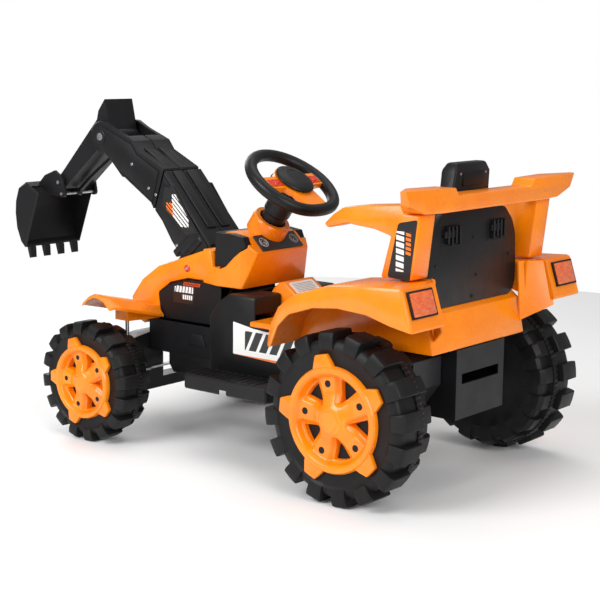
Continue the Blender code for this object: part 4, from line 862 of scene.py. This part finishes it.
class DIGGER_OT_steering_wheel(bpy.types.Operator):
    """Rim with a flattened near side, domed pad, insert edges and red button panels"""

    bl_idname = "digger.steering_wheel"
    bl_label = "Steering wheel"

    def execute(self, context):
        spot = steering_spot()
        # rim: a flattened circle swept by an oval that is a little wider where the thumbs rest
        a = np.linspace(0, 2 * math.pi, 128, endpoint=False)[:, None]
        b = np.linspace(0, 2 * math.pi, 24, endpoint=False)[None]
        near = np.maximum(np.cos(a + math.pi / 2 + math.pi), 0)
        reach = 0.0885 - 0.0075 * near ** 6
        grip = 1 + 0.08 * np.exp(-(np.sin(a) / 0.5) ** 2)
        tube = 0.0118 * grip * (1 - 0.05 * (np.cos(3 * b) > 0.96))
        radius = reach + tube * np.cos(b)
        rim = torus_mesh(np.stack([radius * np.cos(a), radius * np.sin(a), tube * np.sin(b)],
                                  axis=-1)[:, ::-1])
        rim = (rim[0], [f[::-1] for f in rim[1]])
        make_piece("grip_steering", moved(rim, spot), finish_of("black"), "steering",
                   ("steering_rim",))
        pad = turned([(0.0, 0.0095), (0.0390, 0.0095), (0.0400, 0.0108), (0.0392, 0.0124), (0.0355, 0.0148),
                      (0.0280, 0.0170), (0.0215, 0.0180), (0.0208, 0.0174), (0.0, 0.0184)], 56)
        make_piece("dome_horn_pad", moved(pad, spot), finish_of("black"), "horn",
                   ("horn_pad",))
        for name, side in SIDES:
            angle = np.linspace(0, 2 * math.pi, 48, endpoint=False)
            x, y = np.cos(angle), np.sin(angle)
            grow = np.minimum(np.minimum(0.0160 / np.maximum(np.abs(x), 1e-3),
                                         0.0095 / np.maximum(np.abs(y), 1e-3)), 1)
            outer = np.stack([x, y], axis=1) * grow[:, None]
            inner = np.stack([x, y], axis=1) * 0.0079
            rings = np.stack([np.column_stack([p, np.full(48, h)]) for p, h in (
                (inner, 0.0058), (outer, 0.0058), (outer, 0.0070), (outer * 0.94, 0.0078),
                (inner * 1.04, 0.0078),
                (inner, 0.0072))])
            panel = torus_mesh(rings)
            panel = moved(panel, spot @ Matrix.Translation((side * 0.0555, 0.0005, 0)))
            make_piece("panel_button_" + name, panel, finish_of("red"), "steering")
        return {"FINISHED"}


class DIGGER_OT_dash(bpy.types.Operator):
    """Gauges on the dash panel"""

    bl_idname = "digger.dash"
    bl_label = "Dash gauges"

    def execute(self, context):
        low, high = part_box("dash_panel")
        normal = Vector((0, 0.707, 0.707))
        middle = Vector((0, (low.y + high.y) / 2, (low.z + high.z) / 2)) + normal * 0.0018
        white = label_film("gauge_print", "#B9BCBE", [])
        for name, side in SIDES:
            spot = placed(middle + Vector((side * 0.045, 0, 0)), normal, (1, 0, 0))
            rings = []
            for inner, outer in ((0.0098, 0.0108), (0.0062, 0.0068)):
                ring = turned([(inner, 0.0), (outer, 0.0), (outer, 0.0006), (inner, 0.0006)], 36)
                rings.append((ring[0], ring[1][:-2] + torus_join(4, 36)))
            for i in range(7):
                tick = plate(np.array([(-0.0004, 0.0072), (0.0004, 0.0072), (0.0004, 0.0094),
                                       (-0.0004, 0.0094)]),
                             0, 0.0006, 0.0001, 2)
                rings.append(moved(tick, Matrix.Rotation(math.radians(-105 + 35 * i), 4, "Z")))
            needle = plate(np.array([(-0.0009, -0.001), (0.0009, -0.001), (0.0004, 0.0078),
                                     (-0.0004, 0.0078)]),
                           0, 0.0008, 0.0001, 2)
            rings.append(moved(needle, Matrix.Rotation(math.radians(40 * side), 4, "Z")))
            make_piece("gauge_" + name, moved(merged(*rings), spot), white, "chassis")
        return {"FINISHED"}


def torus_join(rows, count):
    """Faces that join the last ring of a skin back to its first."""
    last = np.arange(count) + (rows - 1) * count
    first = np.arange(count)
    return np.stack([last, np.roll(last, -1), np.roll(first, -1), first], axis=-1).tolist()


class DIGGER_OT_seat_back(bpy.types.Operator):
    """Belt slots drawn as dark plates of painted shade, vent fins and screws on the rear of the seat back and
    headrest
    """

    bl_idname = "digger.seat_back"
    bl_label = "Seat back details"

    def execute(self, context):
        low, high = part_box("seat_back_cover")
        plane = placed((0, high.y, 0), (0, 1, 0), (-1, 0, 0))
        black, dark = finish_of("black"), finish_of("tyre")
        half = [(0.124, 0.3245), (0.137, 0.330), (0.1455, 0.346), (0.1460, 0.384), (0.1410, 0.440),
                (0.1290, 0.463), (0.1035, 0.4875), (0.060, 0.4895)]
        outline = rounded_polygon(half + [(-x, z) for x, z in reversed(half)], 0.006)
        cover = plate(outline, low.y - high.y, 0.0, 0.0022)
        make_piece("cover_seat_back", moved(cover, plane), black, "chassis",
                   ("seat_back_cover",))
        for name, side in SIDES:
            fins = []
            for i in range(4):
                x = -side * (0.045 + 0.012 * i + 0.010)
                z = 0.452
                fin = [(x - 0.0022, z - 0.019 + 0.003 * (i % 2)), (x + 0.0022, z - 0.019 + 0.003 * (i % 2)),
                       (x + 0.0022, z + 0.014), (x - 0.0022, z + 0.014)]
                fins.append(plate(np.array(fin), -0.0005, 0.0090, 0.0008, 2))
            base = [(-side * 0.075 - 0.030, 0.429), (-side * 0.075 + 0.030, 0.429),
                    (-side * 0.075 + 0.030, 0.468),
                    (-side * 0.075 - 0.030, 0.468)]
            # painted shade: the slot is a flat plate of the darkest black, standing for the shade between the fins
            # and inside the opening
            pocket = plate(rounded_polygon(base, 0.003), -0.0004, 0.0006, 0.0003, 2)
            make_piece("belt_slot_shade_" + name, moved(pocket, plane), dark, "chassis")
            bridge = [(-side * 0.075 - 0.026, 0.4465), (-side * 0.075 + 0.006, 0.4465),
                      (-side * 0.075 + 0.006, 0.4585),
                      (-side * 0.075 - 0.026, 0.4585)]
            fins.append(plate(rounded_polygon(bridge, 0.002), -0.0005, 0.0070, 0.001))
            make_piece("belt_guide_" + name, moved(merged(*fins), plane), black, "chassis")
        spots = [(0, 0.440), (0.012, 0.372), (-0.118, 0.400), (0.118, 0.400), (0.0, 0.335)]
        screws = [moved(screw_part(0.0030), plane @ Matrix.Translation((x, z, 0))) for x, z in spots]
        make_piece("screws_seat_back", merged(*screws), black, "chassis")
        rest = placed((0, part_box("seat")[1].y - 0.0006, 0), (0, 1, 0), (-1, 0, 0))
        frame_ring = plate(rounded_polygon([(-.033, .530), (.033, .530), (.033, .556), (-.033, .556)],
                                           0.003), -0.002, 0.0012, 0.0008)
        make_piece("headrest_panel", moved(frame_ring, rest), dark, "chassis")
        heads = [moved(screw_part(0.0026), rest @ Matrix.Translation((x, z, -0.0008))) for x, z in
                 ((-0.040, 0.552), (0.040, 0.552), (-0.006, 0.543))]
        make_piece("screws_headrest", merged(*heads), finish_of("steel"), "chassis")
        return {"FINISHED"}


class DIGGER_OT_lamps(bpy.types.Operator):
    """Rear reflectors with a moulded lattice, replacing the plain lenses"""

    bl_idname = "digger.lamps"
    bl_label = "Lamps"

    def execute(self, context):
        tilt = Vector((0, 0.953, 0.303))
        for name, _ in SIDES:
            low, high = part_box("lamp_lens_" + name)
            middle = (low + high) / 2
            wide, tall = (high.x - low.x) / 2, (high.z - low.z) / 2 / 0.953 * 0.99
            spot = placed(middle, tilt, (-1, 0, 0))
            outline = rounded_polygon([(-wide, -tall), (wide, -tall), (wide, tall), (-wide, tall)], 0.003)
            part = plate(outline, -0.0015, 0.0016, 0.0008)
            flat = part[0][:, :2]
            uv = (flat - flat.min(axis=0)) / (flat.max(axis=0) - flat.min(axis=0))
            make_piece("reflector_" + name, moved(part, spot), finish_of("lens"), "chassis",
                       ("lamp_lens_" + name,), uv=uv)
        return {"FINISHED"}


class DIGGER_OT_rear_details(bpy.types.Operator):
    """Corners of the rear tray, the screws of the spoiler and bonnet, the nose skirts and the tub marks"""

    bl_idname = "digger.rear_details"
    bl_label = "Rear details"

    def execute(self, context):
        orange = finish_of("orange")
        for name, side in SIDES:
            # corner sheet: straight lines between the tray's upright edge and the lamp housing's
            v = np.linspace(0, 1, 14)[:, None]
            u = np.linspace(0, 1, 18)[None]
            inner = np.stack([0.1395 + 0 * v, 0.1050 - 0.0075 * v, 0.2760 + 0.1080 * v], axis=-1)
            outer = np.stack([0.1845 + 0 * v, 0.1490 - 0.0215 * v, 0.3040 + 0.0800 * v], axis=-1)
            sheet = inner + (outer - inner) * (u ** 1.3)[..., None]
            sheet[..., 0] *= side
            sheet[..., 1] += REAR_AXLE_Y
            back = sheet.copy()
            back[..., 1] -= 0.003
            rings = np.concatenate([sheet, back[:, ::-1]], axis=1)
            rings = rings if side < 0 else rings[:, ::-1]
            make_piece("tray_corner_" + name, rings_to_mesh(rings), orange, "chassis")
        face = placed((0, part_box("spoiler")[1].y, 0), (0, 1, 0), (-1, 0, 0))
        spots = [(0.235, 0.523), (0.165, 0.5105), (0.060, 0.5105), (-0.060, 0.5105), (-0.165, 0.5105),
                 (-0.235, 0.523)]
        caps = [moved(screw_part(0.0030), face @ Matrix.Translation((x, z, -0.0004))) for x, z in spots]
        make_piece("screws_spoiler", merged(*caps), finish_of("orange"), "chassis")
        for name, side in SIDES:
            spot = side_plane(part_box("hood")[1].x - 0.0115,
                              side) @ Matrix.Translation((side * -0.518, 0.334, 0))
            washer = moved(turned([(0, 0), (0.0072, 0), (0.0072, 0.0012), (0.0060, 0.0020), (0, 0.0022)],
                                  28), spot)
            make_piece("washer_bonnet_" + name, washer, finish_of("red"), "chassis")
            bolt = moved(screw_part(0.0032), spot @ Matrix.Translation((0, 0, 0.0020)))
            make_piece("screw_bonnet_" + name, bolt, finish_of("steel"), "chassis")
            skirt = side_outline([(-.556, .163), (-.556, .140), (-.544, .124), (-.430, .124), (-.420, .163)],
                                 side)
            make_piece("skirt_nose_" + name, moved(plate(skirt, -0.003, 0.0, 0.001),
                                                   side_plane(0.0995, side)),
                       finish_of("black"), "chassis")
            mark = side_outline([(-.500, .186), (-.492, .208), (-.464, .208), (-.455, .186)], side)
            emboss = plate(mark, -0.001, 0.0022, 0.0012)
            make_piece("emboss_tub_" + name, moved(emboss, side_plane(0.1000, side)), finish_of("black"),
                       "chassis")
        return {"FINISHED"}


OPERATORS = (DIGGER_OT_stage, DIGGER_OT_cad_finishes, DIGGER_OT_tyres, DIGGER_OT_hubs, DIGGER_OT_shells,
             DIGGER_OT_boom_details, DIGGER_OT_steering_wheel, DIGGER_OT_dash, DIGGER_OT_seat_back,
             DIGGER_OT_lamps,
             DIGGER_OT_rear_details, DIGGER_OT_labels)


class DIGGER_PT_sidebar(bpy.types.Panel):
    """The digger's builders, in order"""

    bl_idname = "DIGGER_PT_sidebar"
    bl_label = "Digger"
    bl_space_type = "VIEW_3D"
    bl_region_type = "UI"
    bl_category = "Digger"

    def draw(self, context):
        for operator in OPERATORS:
            self.layout.operator(operator.bl_idname)


CLASSES = (DiggerColours, DiggerSizes, *OPERATORS, DIGGER_PT_sidebar)


def register():
    """Register the classes and the scene's settings."""
    for cls in CLASSES:
        bpy.utils.register_class(cls)
    bpy.types.Scene.digger_colours = bpy.props.PointerProperty(type=DiggerColours)
    bpy.types.Scene.digger_sizes = bpy.props.PointerProperty(type=DiggerSizes)


def unregister():
    """Take the settings and classes away again."""
    del bpy.types.Scene.digger_sizes
    del bpy.types.Scene.digger_colours
    for cls in reversed(CLASSES):
        bpy.utils.unregister_class(cls)


def main():
    """Register the classes and build every piece in order."""
    register()
    for operator in OPERATORS:
        group, name = operator.bl_idname.split(".")
        getattr(getattr(bpy.ops, group), name)()


if __name__ == "__main__":
    main()
